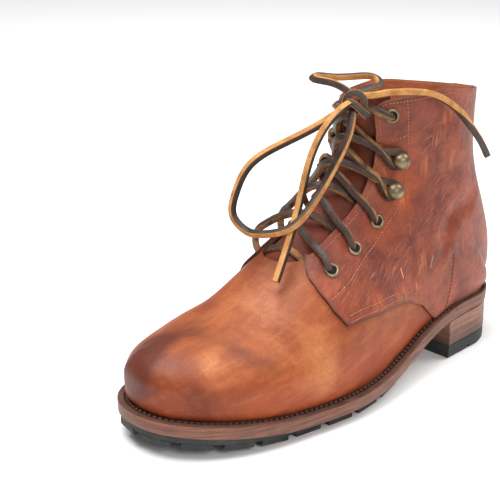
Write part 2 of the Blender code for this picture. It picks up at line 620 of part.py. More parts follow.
def make_cutter():
    """One mesh of boxes that notch both edges of the half sole from below."""
    work = bmesh.new()
    for at, width in NOTCHES:
        floor = max(float(welt_top(at)) - HALF_SOLE_DEPTH, 0.0)
        for side in (0, 1):
            inset = HALF_SOLE_INSET + (HALF_SOLE_TOE_INSET - HALF_SOLE_INSET) * float(ease((at - 0.225) / 0.05))
            reach = float(edge(at, inset)[side])
            outward = 1 if side == 0 else -1
            size = Matrix.Diagonal((width, 2 * NOTCH_DEPTH, 2 * NOTCH_HEIGHT, 1.0))
            place = Matrix.Translation((at, reach + outward * 0.0001, floor))
            bmesh.ops.create_cube(work, size=1.0, matrix=place @ size)
    mesh = bpy.data.meshes.new("lug_cutter")
    work.to_mesh(mesh)
    work.free()
    cutter = bpy.data.objects.new("lug_cutter", mesh)
    bpy.context.scene.collection.objects.link(cutter)
    cutter.parent = BOOT
    cutter.hide_render = True
    cutter.display_type = "WIRE"
    return cutter


def lathe(name, profile, place, ring_shaped, colour):
    """A turned fitting from a radius and height profile, set on a place with its axis along local Z."""
    points, faces = [], []
    count = len(profile)
    for k in range(ROUND_SIDES):
        turn = 2 * math.pi * k / ROUND_SIDES
        for radius, height in profile:
            points.append(place @ Vector((radius * math.cos(turn), radius * math.sin(turn), height)))
    for k in range(ROUND_SIDES):
        following = (k + 1) % ROUND_SIDES
        for j in range(count if ring_shaped else count - 1):
            after = (j + 1) % count
            faces.append((k * count + j, following * count + j, following * count + after, k * count + after))
    if not ring_shaped:
        faces.append([k * count for k in range(ROUND_SIDES)])
        faces.append([k * count + count - 1 for k in range(ROUND_SIDES)])
    return make_object(name, closed(mesh_from(name, points, faces)), colour)


def seat(row, side, lift):
    """Matrix of a fitting's seat, set back from the facing's edge, local Z along the quarter's normal."""
    at = np.array([station(row)])
    share = height_at_y(at, facing_y(at, side), side) - FITTING_SETBACK
    point = upper_points(at, share, side)[0]
    normal = Vector(upper_normals(at, share, side)[0])
    turn = normal.to_track_quat("Z", "Y").to_matrix().to_4x4()
    return Matrix.Translation(Vector(point) + normal * lift) @ turn


def build_fittings():
    """Eyelets and hooks of both facings."""
    face = GAP + QUARTER_THICK + FITTING_GAP
    for side, word in ((1, "lateral"), (-1, "medial")):
        for name, row in EYELETS:
            lathe(f"{name}_{word}", EYELET_PROFILE, seat(row, side, face), True, "brass")
        for name, row in HOOKS:
            lathe(f"{name}_{word}", HOOK_PROFILE, seat(row, side, face), False, "brass")


def smooth_run(points, spacing):
    """Points read off a smooth curve through a run of points, about one spacing apart."""
    path = np.array(points)
    run = np.concatenate([[0], np.cumsum(np.linalg.norm(np.diff(path, axis=0), axis=1))])
    count = max(int(run[-1] / spacing), 4)
    return spline(run, path, np.linspace(0, run[-1], count))


def cord(name, points, spacing, colour):
    """A round cord of lace along a smooth run of points, closed at both ends."""
    smooth = smooth_run(points, spacing)
    curve = bpy.data.curves.new(name, "CURVE")
    curve.dimensions = "3D"
    curve.bevel_depth = LACE_RADIUS
    curve.bevel_resolution = 2
    curve.use_fill_caps = True
    line = curve.splines.new("POLY")
    line.points.add(len(smooth) - 1)
    for point, place in zip(line.points, smooth):
        point.co = (*place, 1.0)
    return make_object(name, curve, colour)


def over_upper(at, share, side, lift):
    """One point over the upper's face."""
    at, share = np.array([at]), np.array([share])
    return upper_points(at, share, side)[0] + upper_normals(at, share, side)[0] * lift


def lace_turn(row, side):
    """Where the lace turns back on one facing: station and height share, short of the hooks."""
    at = float(station(row))
    setback = 0.045 if any(row == hook for name, hook in HOOKS) else FITTING_SETBACK
    return at, float(height_at_y(at, facing_y(at, side), side)) - setback, side


def lace_run():
    """The lace from the top of one facing down to the bottom bar and up to the top of the other."""
    rows = [EYELETS[0][1], EYELETS[1][1], EYELETS[2][1], HOOKS[0][1], HOOKS[1][1], EYELETS[3][1]]
    down = [(row, 1 if k % 2 == 0 else -1, 0.0) for k, row in enumerate(rows)][::-1]
    up = [(row, -1 if k % 2 == 0 else 1, LACE_RISE) for k, row in enumerate(rows)]
    stops = [(*lace_turn(row, side), rise) for row, side, rise in down + up]
    points = list(LACE_TO_MEDIAL_EYELET)
    for (at, share, side, rise), (next_at, next_share, next_side, next_rise) in zip(stops, stops[1:]):
        way = 1 if next_at > at else -1
        if next_at == at:
            way = 0
        first, last = at + way * LACE_TURN_ROWS, next_at - way * LACE_TURN_ROWS
        for step in (0.0, 0.25, 0.5, 0.75, 1.0):
            along = first + (last - first) * step
            lift = LACE_LIFT + next_rise * math.sin(math.pi * step)
            if step < 0.5:
                points.append(over_upper(along, share + (0.985 - share) * 2 * step, side, lift))
            elif step > 0.5:
                points.append(over_upper(along, next_share + (0.985 - next_share) * 2 * (1 - step), next_side, lift))
            else:
                middle = [over_upper(along, 0.985, which, lift) for which in (side, next_side)]
                points.append((middle[0] + middle[1]) / 2)
    return points + LACE_FROM_LATERAL_EYELET


def knot_run():
    """The knot's turns round the bow."""
    turns = np.linspace(0, 2 * math.pi * KNOT_TURNS, 14)
    rise = (turns / turns[-1] - 0.5) * KNOT_PITCH * KNOT_TURNS
    return np.stack([KNOT_CENTRE[0] + KNOT_RADIUS * np.cos(turns), KNOT_CENTRE[1] + rise,
                     KNOT_CENTRE[2] + KNOT_RADIUS * np.sin(turns)], -1)


def build():
    """Makes every piece of the boot."""
    build_upper()
    build_quarter("quarter_lateral", 1)
    build_quarter("quarter_medial", -1)
    build_back_strip()
    build_tongue()
    build_sole()
    build_fittings()
    cord("lace_crossings", lace_run(), 5.4 * LACE_RADIUS, "lace")
    cord("lace_knot", knot_run(), 2.4 * LACE_RADIUS, "lace")
    for name, points in (("lace_loop_down", LOOP_DOWN), ("lace_loop_up", LOOP_UP), ("lace_end_back", END_BACK),
                         ("lace_end_down", END_DOWN)):
        cord(name, points, 5.0 * LACE_RADIUS, "lace")


for leftover in list(bpy.data.objects):
    bpy.data.objects.remove(leftover, do_unlink=True)
BOOT = bpy.data.objects.new("boot", None)
bpy.context.scene.collection.objects.link(BOOT)
BOOT.location = (-FOOTPRINT_MIDDLE[0], -FOOTPRINT_MIDDLE[1], 0.0)
build()
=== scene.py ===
# %% [markdown]
# # A brown lace-up boot
# The solids of this boot are already packed, with their true sizes, so the lesson starts by loading them.
# They stay where they are. Each piece made below either lies over a solid or stands in for it.

# %% Load the imported boot
import math

import bmesh
import bpy
import numpy as np
from mathutils import Matrix, Quaternion, Vector


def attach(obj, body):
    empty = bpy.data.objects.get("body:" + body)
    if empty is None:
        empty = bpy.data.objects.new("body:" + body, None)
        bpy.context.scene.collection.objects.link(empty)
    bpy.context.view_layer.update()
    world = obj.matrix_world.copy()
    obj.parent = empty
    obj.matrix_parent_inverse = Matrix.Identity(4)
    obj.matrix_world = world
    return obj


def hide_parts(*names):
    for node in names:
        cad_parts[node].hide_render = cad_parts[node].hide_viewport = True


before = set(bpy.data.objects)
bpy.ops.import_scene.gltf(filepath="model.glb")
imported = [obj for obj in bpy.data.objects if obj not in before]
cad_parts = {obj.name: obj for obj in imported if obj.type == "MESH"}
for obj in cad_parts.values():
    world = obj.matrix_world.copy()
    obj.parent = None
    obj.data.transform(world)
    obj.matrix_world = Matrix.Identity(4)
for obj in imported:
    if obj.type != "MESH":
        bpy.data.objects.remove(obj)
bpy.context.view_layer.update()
ORIGIN = np.array([0.1495, 0.0004, 0.0])

# %% [markdown]
# ## The last
# A boot takes its shape from a last, a wooden foot. Here the last is a table of ribs: each row gives the
# foot, girth and ridge of one section, and a smooth curve through the rows gives every point between.
# A scanned mesh would also do, but a table can be read, and every panel, stitch and crease below can be
# placed by a row of it and a share of the rib's height.

# %% Sizes of the sole
LENGTH = 0.300
HEEL_BACK = 0.004
TOE_BREAK = 0.215
HEEL_BREAK = 0.038
HEEL_BREAST = 0.068
WELT_END = 0.062
TOE_TIP_Y = -0.004
TOE_ROUND_LATERAL = 2.0
TOE_ROUND_MEDIAL = 2.3
HEEL_ROUND = 2.0
WELT_SHOWN = 0.0069
HEEL_SHOWN = 0.0030
# where the shown welt widens, and where the middle line swings to the toe tip: start and length
WELT_WIDENS = (0.055, 0.050)
MIDDLE_SWINGS = (0.100, 0.190)
# x, lateral y, medial y
SOLE_WIDTHS = np.array([
    (0.000, 0.0345, -0.0345), (0.038, 0.0365, -0.0360), (0.065, 0.0388, -0.0365), (0.100, 0.0438, -0.0355),
    (0.140, 0.0530, -0.0385), (0.180, 0.0572, -0.0480), (0.215, 0.0535, -0.0560), (0.240, 0.0520, -0.0565),
])
# x, top of the welt
WELT_TOP = np.array([
    (0.000, 0.0365), (0.040, 0.0362), (0.070, 0.0345), (0.100, 0.0275), (0.130, 0.0200), (0.160, 0.0160),
    (0.190, 0.0150), (0.220, 0.0155), (0.250, 0.0185), (0.275, 0.0215), (0.300, 0.0245),
])
print("sole measured at", len(SOLE_WIDTHS), "widths and", len(WELT_TOP), "heights")


# %% Curves of the sole
def spline(knots, values, at):
    """Natural cubic spline through the knots, straight beyond its ends; values may have several columns."""
    knots = np.asarray(knots, float)
    values = np.asarray(values, float)
    at = np.asarray(at, float)
    count = len(knots)
    columns = values.reshape(count, -1)
    step = np.diff(knots)
    slope = np.diff(columns, axis=0) / step[:, None]
    system = np.eye(count)
    right = np.zeros_like(columns)
    for i in range(1, count - 1):
        system[i, i - 1:i + 2] = step[i - 1], 2 * (step[i - 1] + step[i]), step[i]
        right[i] = 6 * (slope[i] - slope[i - 1])
    bend = np.linalg.solve(system, right)
    i = np.clip(np.searchsorted(knots, at) - 1, 0, count - 2)
    inside = np.clip(at, knots[0], knots[-1])
    low = ((knots[i + 1] - inside) / step[i])[..., None]
    high = 1 - low
    width = step[i][..., None]
    result = low * columns[i] + high * columns[i + 1]
    result = result + ((low**3 - low) * bend[i] + (high**3 - high) * bend[i + 1]) * width**2 / 6
    start_slope = slope[0] - step[0] * bend[1] / 6
    end_slope = slope[-1] + step[-1] * bend[-2] / 6
    result = result + np.minimum(at - knots[0], 0)[..., None] * start_slope
    result = result + np.maximum(at - knots[-1], 0)[..., None] * end_slope
    return result.reshape(at.shape + values.shape[1:])


def ease(share):
    """Smooth step of a share from 0 to 1."""
    share = np.clip(share, 0, 1)
    return share * share * (3 - 2 * share)


def welt_top(x):
    """Height of the welt's upper face at x."""
    return spline(WELT_TOP[:, 0], WELT_TOP[:, 1], np.clip(x, 0, LENGTH))


def welt_shown(x):
    """Width of welt that shows beside the upper at x."""
    return HEEL_SHOWN + (WELT_SHOWN - HEEL_SHOWN) * ease((np.asarray(x) - WELT_WIDENS[0]) / WELT_WIDENS[1])


def edge(x, inset):
    """Lateral and medial y of the sole's outline at x, set in from its edge."""
    x = np.asarray(x, float)
    widths = spline(SOLE_WIDTHS[:, 0], SOLE_WIDTHS[:, 1:], x)
    toe = np.clip((x - TOE_BREAK) / (LENGTH - inset - TOE_BREAK), 0, 1)
    heel = np.clip((HEEL_BREAK - x) / (HEEL_BREAK - HEEL_BACK - inset), 0, 1)
    back = (1 - heel**HEEL_ROUND) ** (1 / HEEL_ROUND)
    lateral_front = (1 - toe**TOE_ROUND_LATERAL) ** (1 / TOE_ROUND_LATERAL)
    medial_front = (1 - toe**TOE_ROUND_MEDIAL) ** (1 / TOE_ROUND_MEDIAL)
    middle = TOE_TIP_Y * np.clip((x - MIDDLE_SWINGS[0]) / MIDDLE_SWINGS[1], 0, 1)
    lateral = middle + (widths[..., 0] - inset - middle) * back * lateral_front
    medial = middle + (widths[..., 1] + inset - middle) * back * medial_front
    return lateral, medial


print("ball width:", round(float(edge(0.18, 0)[0] - edge(0.18, 0)[1]), 4))

# %% Ribs of the upper
FOOT_GAP = 0.0005
GIRTH_SHARE = 0.30
SEAM_ROW = 16.0
TOE_RIBS = 7
CROWN_X = 0.258
CROWN_Z = 0.0600
TOE_GIRTH = 0.0170
TOE_SWELL_LATERAL = 0.0028
TOE_SWELL_MEDIAL = 0.0018
FAN_SHARES = [0.8, 0.3]
# bottom x, bottom z (None: on the welt), girth x and z, top x and z, lateral and medial half width, ridge y,
# roundness, lean, fullness
RIBS = [
    (0.2150, None, 0.215, 0.033, 0.2130, 0.0720, 0.0495, -0.0498, -0.006, 2.00, 0.00, 1.00),
    (0.1900, None, 0.191, 0.036, 0.1900, 0.0880, 0.0522, -0.0465, -0.007, 1.90, 0.00, 1.00),
    (0.1600, None, 0.163, 0.040, 0.1690, 0.1030, 0.0495, -0.0415, -0.008, 1.82, 0.00, 1.00),
    (0.1250, None, 0.133, 0.046, 0.1510, 0.1160, 0.0440, -0.0370, -0.008, 1.80, 0.00, 1.00),
    (0.0900, None, 0.105, 0.054, 0.1400, 0.1280, 0.0385, -0.0350, -0.007, 1.82, 0.00, 1.00),
    (0.0600, None, 0.084, 0.064, 0.1340, 0.1370, 0.0368, -0.0350, -0.006, 1.88, 0.00, 1.00),
    (0.0360, None, 0.071, 0.075, 0.1310, 0.1440, 0.0350, -0.0340, -0.005, 1.92, 0.00, 0.80),
    (0.0200, None, 0.064, 0.085, 0.1295, 0.1490, 0.0332, -0.0325, -0.005, 1.95, 0.00, 0.65),
    (0.0110, None, 0.062, 0.092, 0.1290, 0.1520, 0.0320, -0.0315, -0.004, 1.98, 0.01, 0.58),
    (0.0066, None, 0.061, 0.098, 0.1285, 0.1545, 0.0312, -0.0308, -0.004, 2.00, 0.01, 0.55),
    (0.0030, 0.0480, 0.061, 0.105, 0.1280, 0.1572, 0.0300, -0.0296, -0.004, 2.02, 0.02, 0.58),
    (0.0022, 0.0600, 0.062, 0.112, 0.1280, 0.1600, 0.0296, -0.0292, -0.003, 2.05, 0.02, 0.66),
    (0.0060, 0.0790, 0.064, 0.124, 0.1280, 0.1640, 0.0291, -0.0287, -0.003, 2.10, 0.03, 0.78),
    (0.0140, 0.1010, 0.067, 0.139, 0.1280, 0.1675, 0.0288, -0.0284, -0.003, 2.15, 0.05, 0.90),
    (0.0200, 0.1250, 0.069, 0.154, 0.1280, 0.1710, 0.0288, -0.0282, -0.002, 2.20, 0.07, 1.00),
    (0.0208, 0.1490, 0.070, 0.168, 0.1280, 0.1745, 0.0289, -0.0282, -0.002, 2.20, 0.09, 1.00),
    (0.0195, 0.1690, 0.071, 0.1795, 0.1280, 0.1775, 0.0290, -0.0282, -0.002, 2.20, 0.10, 1.00),
]
print("ribs behind the toe:", len(RIBS))


# %% Add the toe's ribs
def rib_rows():
    """The rib table with its toe dome, the feather line and the share of fan for each rib."""
    body = []
    for k, (bottom_x, bottom_z, girth_x, girth_z, top_x, top_z, half_l, half_m, ridge, roundness,
            lean, fullness) in enumerate(RIBS):
        foot_l = foot_m = 0.0
        if bottom_z is None:
            bottom_z = float(welt_top(bottom_x)) + FOOT_GAP
            foot_l, foot_m = edge(bottom_x, welt_shown(bottom_x))
            if bottom_x < HEEL_BACK + HEEL_SHOWN:
                foot_l = foot_m = 0.0
        body.append((bottom_x, bottom_z, girth_x, girth_z, top_x, top_z, float(foot_l), float(foot_m),
                     half_l, half_m, ridge, roundness, lean, FAN_SHARES[k] if k < len(FAN_SHARES) else 0.0,
                     fullness))
    toe = []
    tip = LENGTH - WELT_SHOWN
    for k in range(TOE_RIBS):
        turn = math.pi / 2 * k / TOE_RIBS
        x = TOE_BREAK + (tip - TOE_BREAK) * math.cos(turn)
        foot_l, foot_m = (float(y) for y in edge(x, WELT_SHOWN))
        bottom_z = float(welt_top(x)) + FOOT_GAP
        top_x = RIBS[0][4] + (CROWN_X - RIBS[0][4]) * math.cos(turn)
        behind = (CROWN_X - top_x) / (CROWN_X - RIBS[0][4])
        top_z = CROWN_Z + (RIBS[0][5] - CROWN_Z) * behind**2
        ridge = TOE_TIP_Y + (RIBS[0][8] - TOE_TIP_Y) * math.sin(turn)
        toe.append((x, bottom_z, x + TOE_SWELL_LATERAL * math.cos(turn), bottom_z + TOE_GIRTH, top_x, top_z,
                    foot_l, foot_m, foot_l + TOE_SWELL_LATERAL * math.sin(turn),
                    foot_m - TOE_SWELL_MEDIAL * math.sin(turn), ridge, 2.0, 0.0, 1.0, 1.0))
    return np.array(toe + body)


ROWS = rib_rows()
MIDDLES = (ROWS[:, 0:2] + ROWS[:, 2:4] + ROWS[:, 4:6]) / 3
RUN = np.concatenate([[0], np.cumsum(np.linalg.norm(np.diff(MIDDLES, axis=0), axis=1) ** 0.7)])
RUN = RUN / RUN[-1]
MIRROR = ROWS[1].copy()
MIRROR[[6, 7, 8, 9]] = 2 * TOE_TIP_Y - ROWS[1][[6, 7, 8, 9]]
KNOTS = np.concatenate([[-RUN[1]], RUN])
TABLE = np.vstack([MIRROR, ROWS])
print("ribs:", len(ROWS))


# %% Points and normals of the last
def station(row):
    """Place along the upper, 0 at the toe tip and 1 at the collar, of a row of the rib table."""
    return np.interp(row, np.arange(len(ROWS)), RUN)


def upper_points(stations, heights, side):
    """Points of the upper's outer face; heights run from 0 at the foot of a rib to 1 at its ridge."""
    stations = np.asarray(stations, float)
    rib = spline(KNOTS, TABLE, stations)
    foot, half = (rib[..., 6], rib[..., 8]) if side > 0 else (rib[..., 7], rib[..., 9])
    foot = np.where(stations > station(SEAM_ROW - 0.001), 0.0, foot)
    floor = welt_top(rib[..., 0]) + FOOT_GAP
    bottom_z = np.where(stations <= station(SEAM_ROW), floor, np.maximum(rib[..., 1], floor))
    low = np.clip(heights / GIRTH_SHARE, 0, 1) * math.pi / 2
    high = np.clip((heights - GIRTH_SHARE) / (1 - GIRTH_SHARE), 0, 1) * math.pi / 2
    below = heights < GIRTH_SHARE
    power = 2 / rib[..., 11]
    rise = np.where(below, 1 - np.cos(low), np.sin(high) ** power)
    width = np.where(below, np.sin(low) ** rib[..., 14], np.cos(high).clip(0) ** power)
    y = np.where(below, foot + (half - foot) * width, rib[..., 10] + (half - rib[..., 10]) * width)
    forward = rise + (1 - width - rise) * rib[..., 13]
    x = np.where(below, rib[..., 0] + (rib[..., 2] - rib[..., 0]) * (rise + (width - rise) * rib[..., 13]),
                 rib[..., 2] + (rib[..., 4] - rib[..., 2]) * forward)
    z = np.where(below, bottom_z + (rib[..., 3] - bottom_z) * rise,
                 rib[..., 3] + (rib[..., 5] - rib[..., 3]) * rise)
    return np.stack([x, y, z + rib[..., 12] * y], -1)


def upper_normals(stations, heights, side):
    """Outward normals of the upper's outer face."""
    small = 0.002
    low = np.clip(heights - small, 0.001, 0.997)
    high = np.clip(heights + small, 0.003, 0.999)
    along = upper_points(stations + small, heights, side) - upper_points(stations - small, heights, side)
    up = upper_points(stations, high, side) - upper_points(stations, low, side)
    normal = np.cross(along, up) * side
    return normal / np.linalg.norm(normal, axis=-1, keepdims=True)


def over_upper(row, share, side, lift):
    """Points lifted off the upper's face, by row and height share."""
    at = station(np.asarray(row, float))
    share = np.asarray(share, float)
    return upper_points(at, share, side) + upper_normals(at, share, side) * lift


print("collar height at the back:", round(float(upper_points(1.0, 0.0, 1)[2]), 4))

# %% The throat, the facings and the quarter's edge
THROAT_LATERAL = 0.0135
THROAT_MEDIAL = -0.0165
THROAT_ROW = 8.05
THROAT_FULL_ROW = 8.75
CORNER_START = 0.93
CORNER_OPENING = 0.0070
# row, height share of the quarter's lower edge
QUARTER_EDGE = np.array([
    (8.38, 0.475), (9.00, 0.440), (9.60, 0.405), (10.30, 0.363), (10.75, 0.316), (11.05, 0.245),
    (11.25, 0.060), (13.00, 0.055), (15.00, 0.030), (16.00, 0.020), (17.80, 0.015), (23.00, 0.012),
])


def height_at_y(stations, y, side):
    """Height share at which the ribs reach a given y on their upper half."""
    rib = spline(KNOTS, TABLE, np.asarray(stations, float))
    half = rib[..., 8] if side > 0 else rib[..., 9]
    reach = np.where(np.abs(half - rib[..., 10]) < 1e-9, 1e-9, half - rib[..., 10])
    share = np.clip((y - rib[..., 10]) / reach, 0, 1)
    turn = np.arccos(share ** (rib[..., 11] / 2))
    return GIRTH_SHARE + (1 - GIRTH_SHARE) * turn / (math.pi / 2)


def facing_y(stations, side):
    """y of a facing's edge: the lateral one runs straight, the medial one follows the ridge."""
    if side > 0:
        return np.full(np.shape(stations), THROAT_LATERAL)
    return spline(KNOTS, TABLE[:, 10], stations) + THROAT_MEDIAL


def throat_edge(stations, side):
    """Height share of the throat's edge: 1 ahead of it, then the facing's edge, rounded at its ends."""
    start, full = station(THROAT_ROW), station(THROAT_FULL_ROW)
    share = np.clip((stations - start) / (full - start), 0, 1)
    opening = np.sqrt(1 - (1 - share) ** 2)
    corner = np.clip((stations - CORNER_START) / (1 - CORNER_START), 0, 1)
    away = CORNER_OPENING * (1 - np.sqrt(1 - corner**2))
    ridge = spline(KNOTS, TABLE[:, 10], stations)
    wanted = facing_y(stations, side) + side * away
    at_y = height_at_y(stations, ridge + (wanted - ridge) * opening, side)
    return np.where(stations <= start, 1.0, at_y)


def quarter_lower(stations):
    """Height share of the quarter's lower edge."""
    return np.interp(stations, station(QUARTER_EDGE[:, 0]), QUARTER_EDGE[:, 1])


print("throat starts at", round(float(station(THROAT_ROW)), 3), "of the upper's run")

# %% [markdown]
# ## Camera, floor and light
# The boot stands on a pale floor in soft light from all round, as in a catalogue. The camera is a long
# lens, so that the toe isn't blown up. Its place was worked out from the sole's outline and it is turned
# a little about its own axis. A wide light to the left of the camera gives the toe its soft shine.

# %% Camera
CAMERA_AIM = Vector((0.05384, -0.01038, 0.09796))
CAMERA_TURN = math.radians(45.56)
CAMERA_RISE = math.radians(20.6)
CAMERA_ROLL = math.radians(0.46)
CAMERA_DISTANCE = 0.93737
CAMERA_LENS = 112.886


def add_to_scene(item):
    """Links a new object to the scene."""
    bpy.context.scene.collection.objects.link(item)
    return item


back = Vector((math.cos(CAMERA_RISE) * math.cos(CAMERA_TURN), math.cos(CAMERA_RISE) * math.sin(CAMERA_TURN),
               math.sin(CAMERA_RISE)))
camera = add_to_scene(bpy.data.objects.new("camera", bpy.data.cameras.new("camera")))
camera.data.lens = CAMERA_LENS
camera.data.sensor_width = 36.0
camera.data.clip_start = 0.05
camera.location = CAMERA_AIM + back * CAMERA_DISTANCE
camera.rotation_mode = "QUATERNION"
camera.rotation_quaternion = (-back).to_track_quat("-Z", "Y") @ Quaternion((0, 0, 1), CAMERA_ROLL)
bpy.context.scene.camera = camera
print("camera at", np.round(camera.location, 3).tolist())

# %% Floor and light
LIGHTS = {
    # name: place, size, watts
    "key_light": ((0.28, -0.28, 1.28), 1.1, 24.0),
    "fill_light": ((0.45, 1.20, 0.90), 0.8, 9.0),
    "back_light": ((-0.80, 0.35, 1.05), 0.8, 9.0),
}
FLOOR_SIZE = 6.0
WORLD_STRENGTH = 0.32

bpy.context.scene.view_settings.view_transform = "Standard"
world = bpy.data.worlds.new("studio")
world.use_nodes = True
world.node_tree.nodes["Background"].inputs["Color"].default_value = (1.0, 1.0, 1.0, 1.0)
world.node_tree.nodes["Background"].inputs["Strength"].default_value = WORLD_STRENGTH
bpy.context.scene.world = world
for name, (place, size, watts) in LIGHTS.items():
    lamp = add_to_scene(bpy.data.objects.new(name, bpy.data.lights.new(name, "AREA")))
    lamp.data.shape = "DISK"
    lamp.data.size = size
    lamp.data.energy = watts
    lamp.location = place
    lamp.rotation_mode = "QUATERNION"
    lamp.rotation_quaternion = (CAMERA_AIM - Vector(place)).to_track_quat("-Z", "Y")

floor_mesh = bpy.data.meshes.new("floor")
half = FLOOR_SIZE / 2
floor_corners = [(-half, -half, 0), (half, -half, 0), (half, half, 0), (-half, half, 0)]
floor_mesh.from_pydata(floor_corners, [], [(0, 1, 2, 3)])
floor = add_to_scene(bpy.data.objects.new("floor", floor_mesh))
print("lights:", ", ".join(LIGHTS))

# %% [markdown]
# ## Paints and finishes
# A finish is a small tree of nodes. Helpers keep the trees short: they add a node and wire it, mix two
# colours, do a sum or stretch a pattern. Colours are written as they show on a screen and turned into light.


# %% Helpers for finishes
def paint(red, green, blue):
    """A colour given as screen values from 0 to 255, as linear light."""
    values = np.array([red, green, blue]) / 255
    light = np.where(values <= 0.04045, values / 12.92, ((values + 0.055) / 1.055) ** 2.4)
    return (*light.tolist(), 1.0)


def set_inputs(tree, node, inputs):
    """Sets each named input of a node to a value, or wires a socket to it."""
    for key, value in inputs.items():
        if isinstance(value, bpy.types.NodeSocket):
            tree.links.new(value, node.inputs[key])
        else:
            node.inputs[key].default_value = value


def add_node(tree, kind, inputs=None, **settings):
    """A new node with its settings, and with each named input set or wired."""
    node = tree.nodes.new(kind)
    for key, value in settings.items():
        setattr(node, key, value)
    set_inputs(tree, node, inputs or {})
    return node


def mix(tree, factor, first, second, blend="MIX"):
    """Two colours mixed; first, second and factor are values or sockets."""
    node = add_node(tree, "ShaderNodeMix", data_type="RGBA", blend_type=blend)
    set_inputs(tree, node, {0: factor, 6: first, 7: second})
    return node.outputs[2]


def sums(tree, operation, first, second):
    """One sum of two values."""
    return add_node(tree, "ShaderNodeMath", {0: first, 1: second}, operation=operation).outputs[0]


# %% Patterns and bump
def spread(tree, value, low, high, to_low=0.0, to_high=1.0):
    """A value moved from one range to another and held inside it."""
    node = add_node(tree, "ShaderNodeMapRange", {"Value": value, "From Min": low, "From Max": high,
                                                 "To Min": to_low, "To Max": to_high})
    return node.outputs[0]


def noise(tree, vector, scale, detail=3.0, rough=0.5, distortion=0.0):
    """Cloudy noise."""
    return add_node(tree, "ShaderNodeTexNoise", {"Vector": vector, "Scale": scale, "Detail": detail,
                                                 "Roughness": rough, "Distortion": distortion}).outputs["Fac"]


def stretched(tree, place, scale, lean=0.0):
    """A place turned about Y by a lean and then scaled, so that patterns on it are drawn out."""
    if lean:
        turned = add_node(tree, "ShaderNodeMapping", {"Vector": place, "Rotation": (0.0, lean, 0.0)})
        place = turned.outputs["Vector"]
    return add_node(tree, "ShaderNodeMapping", {"Vector": place, "Scale": scale}).outputs["Vector"]


def new_finish(name):
    """An empty finish: its material, tree, shader and place on the object."""
    material = bpy.data.materials.new(name)
    material.use_nodes = True
    tree = material.node_tree
    place = add_node(tree, "ShaderNodeTexCoord").outputs["Object"]
    return material, tree, tree.nodes["Principled BSDF"], place


def bump(tree, shader, *layers):
    """Bump layers one over another, each a height, a distance in metres and a strength."""
    below = None
    for height, distance, strength in layers:
        node = add_node(tree, "ShaderNodeBump", {"Height": height, "Distance": distance,
                                                 "Strength": strength})
        if below is not None:
            tree.links.new(below, node.inputs["Normal"])
        below = node.outputs["Normal"]
    tree.links.new(below, shader.inputs["Normal"])


# %% Paper for the floor
def floor_finish():
    """Pale paper with a trace of tooth."""
    material, tree, shader, place = new_finish("paper")
    set_inputs(tree, shader, {"Base Color": paint(250, 250, 250), "Roughness": 0.9,
                              "Specular IOR Level": 0.1})
    bump(tree, shader, (noise(tree, place, 900.0), 0.0002, 0.1))
    return material


floor_mesh.materials.append(floor_finish())
print("floor:", floor_mesh.materials[0].name)

# %% [markdown]
# ## The lace's bow
# The lace is a square-cut leather thong: one grain face waxed dark, the other faces raw and tan. A curve
# with a round bevel would lose those corners, so a rounded oblong is swept along each run of points with
# a frame that turns as little as it can. Twist is added where the thong shows its other face.

# %% Thong sizes and finish
THONG_WIDTH = 0.0042
THONG_THICK = 0.0038
THONG_ROUND = 0.0006
THONG_SHARP = math.radians(50)


def thong_finish(name, dark, light, gloss):
    """Leather of the thong: fibre streaks, worn patches and a fine nap."""
    material, tree, shader, place = new_finish(name)
    worn = spread(tree, noise(tree, place, 130.0, 4.0, 0.6), 0.40, 0.66)
    fibre = noise(tree, place, 1500.0, 3.0, 0.7)
    colour = mix(tree, worn, dark, light)
    colour = mix(tree, spread(tree, fibre, 0.45, 0.72, 0.0, 0.55), colour, paint(70, 46, 32))
    rough = spread(tree, worn, 0, 1, gloss, gloss + 0.15)
    set_inputs(tree, shader, {"Base Color": colour, "Roughness": rough, "Specular IOR Level": 0.35})
    bump(tree, shader, (fibre, 0.0003, 0.5), (noise(tree, place, 420.0), 0.0004, 0.4))
    return material


thong_grain = thong_finish("thong_grain", paint(47, 39, 36), paint(78, 58, 46), 0.35)
thong_raw = thong_finish("thong_raw", paint(204, 148, 86), paint(168, 112, 62), 0.75)
thong_worn = thong_finish("thong_worn", paint(160, 112, 66), paint(76, 56, 42), 0.7)
print("thong:", THONG_WIDTH, "by", THONG_THICK)


# %% Helpers for tubes and pieces
def run_lengths(points):
    """Length along a run of points up to each of them."""
    return np.concatenate([[0], np.cumsum(np.linalg.norm(np.diff(points, axis=0), axis=1))])


def ring_faces(rings, size):
    """Quads between rings of points that each close on themselves."""
    faces = []
    for i in range(rings - 1):
        for j in range(size):
            a, b = i * size + j, i * size + (j + 1) % size
            faces.append((a, b, b + size, a + size))
    return faces


def end_faces(rings, size):
    """The two flat ends of a tube of rings."""
    return [tuple(range(size))[::-1], tuple(range((rings - 1) * size, rings * size))]


def joined(parts):
    """Vertices, moved to the boot's own frame, and faces of several parts in one list each."""
    vertices, faces = [], []
    for part_vertices, part_faces in parts:
        first = sum(len(part) for part in vertices)
        faces += [tuple(first + i for i in face) for face in part_faces]
        vertices.append(part_vertices)
    return (np.vstack(vertices) - ORIGIN).tolist(), faces


def new_piece(name, mesh, nodes):
    """A piece that rides the boot's one body and stands in for solids."""
    item = add_to_scene(bpy.data.objects.new(name, mesh))
    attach(item, "root")
    if nodes:
        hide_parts(*nodes)
    print(name, "faces:", len(mesh.polygons))
    return item


# %% Sweep a thong along a run of points
def smooth_run(points, spacing):
    """Points read off a smooth curve through a run of points, about one spacing apart."""
    path = np.array(points, float)
    run = run_lengths(path)
    count = max(int(run[-1] / spacing), 6)
    return spline(run, path, np.linspace(0, run[-1], count))


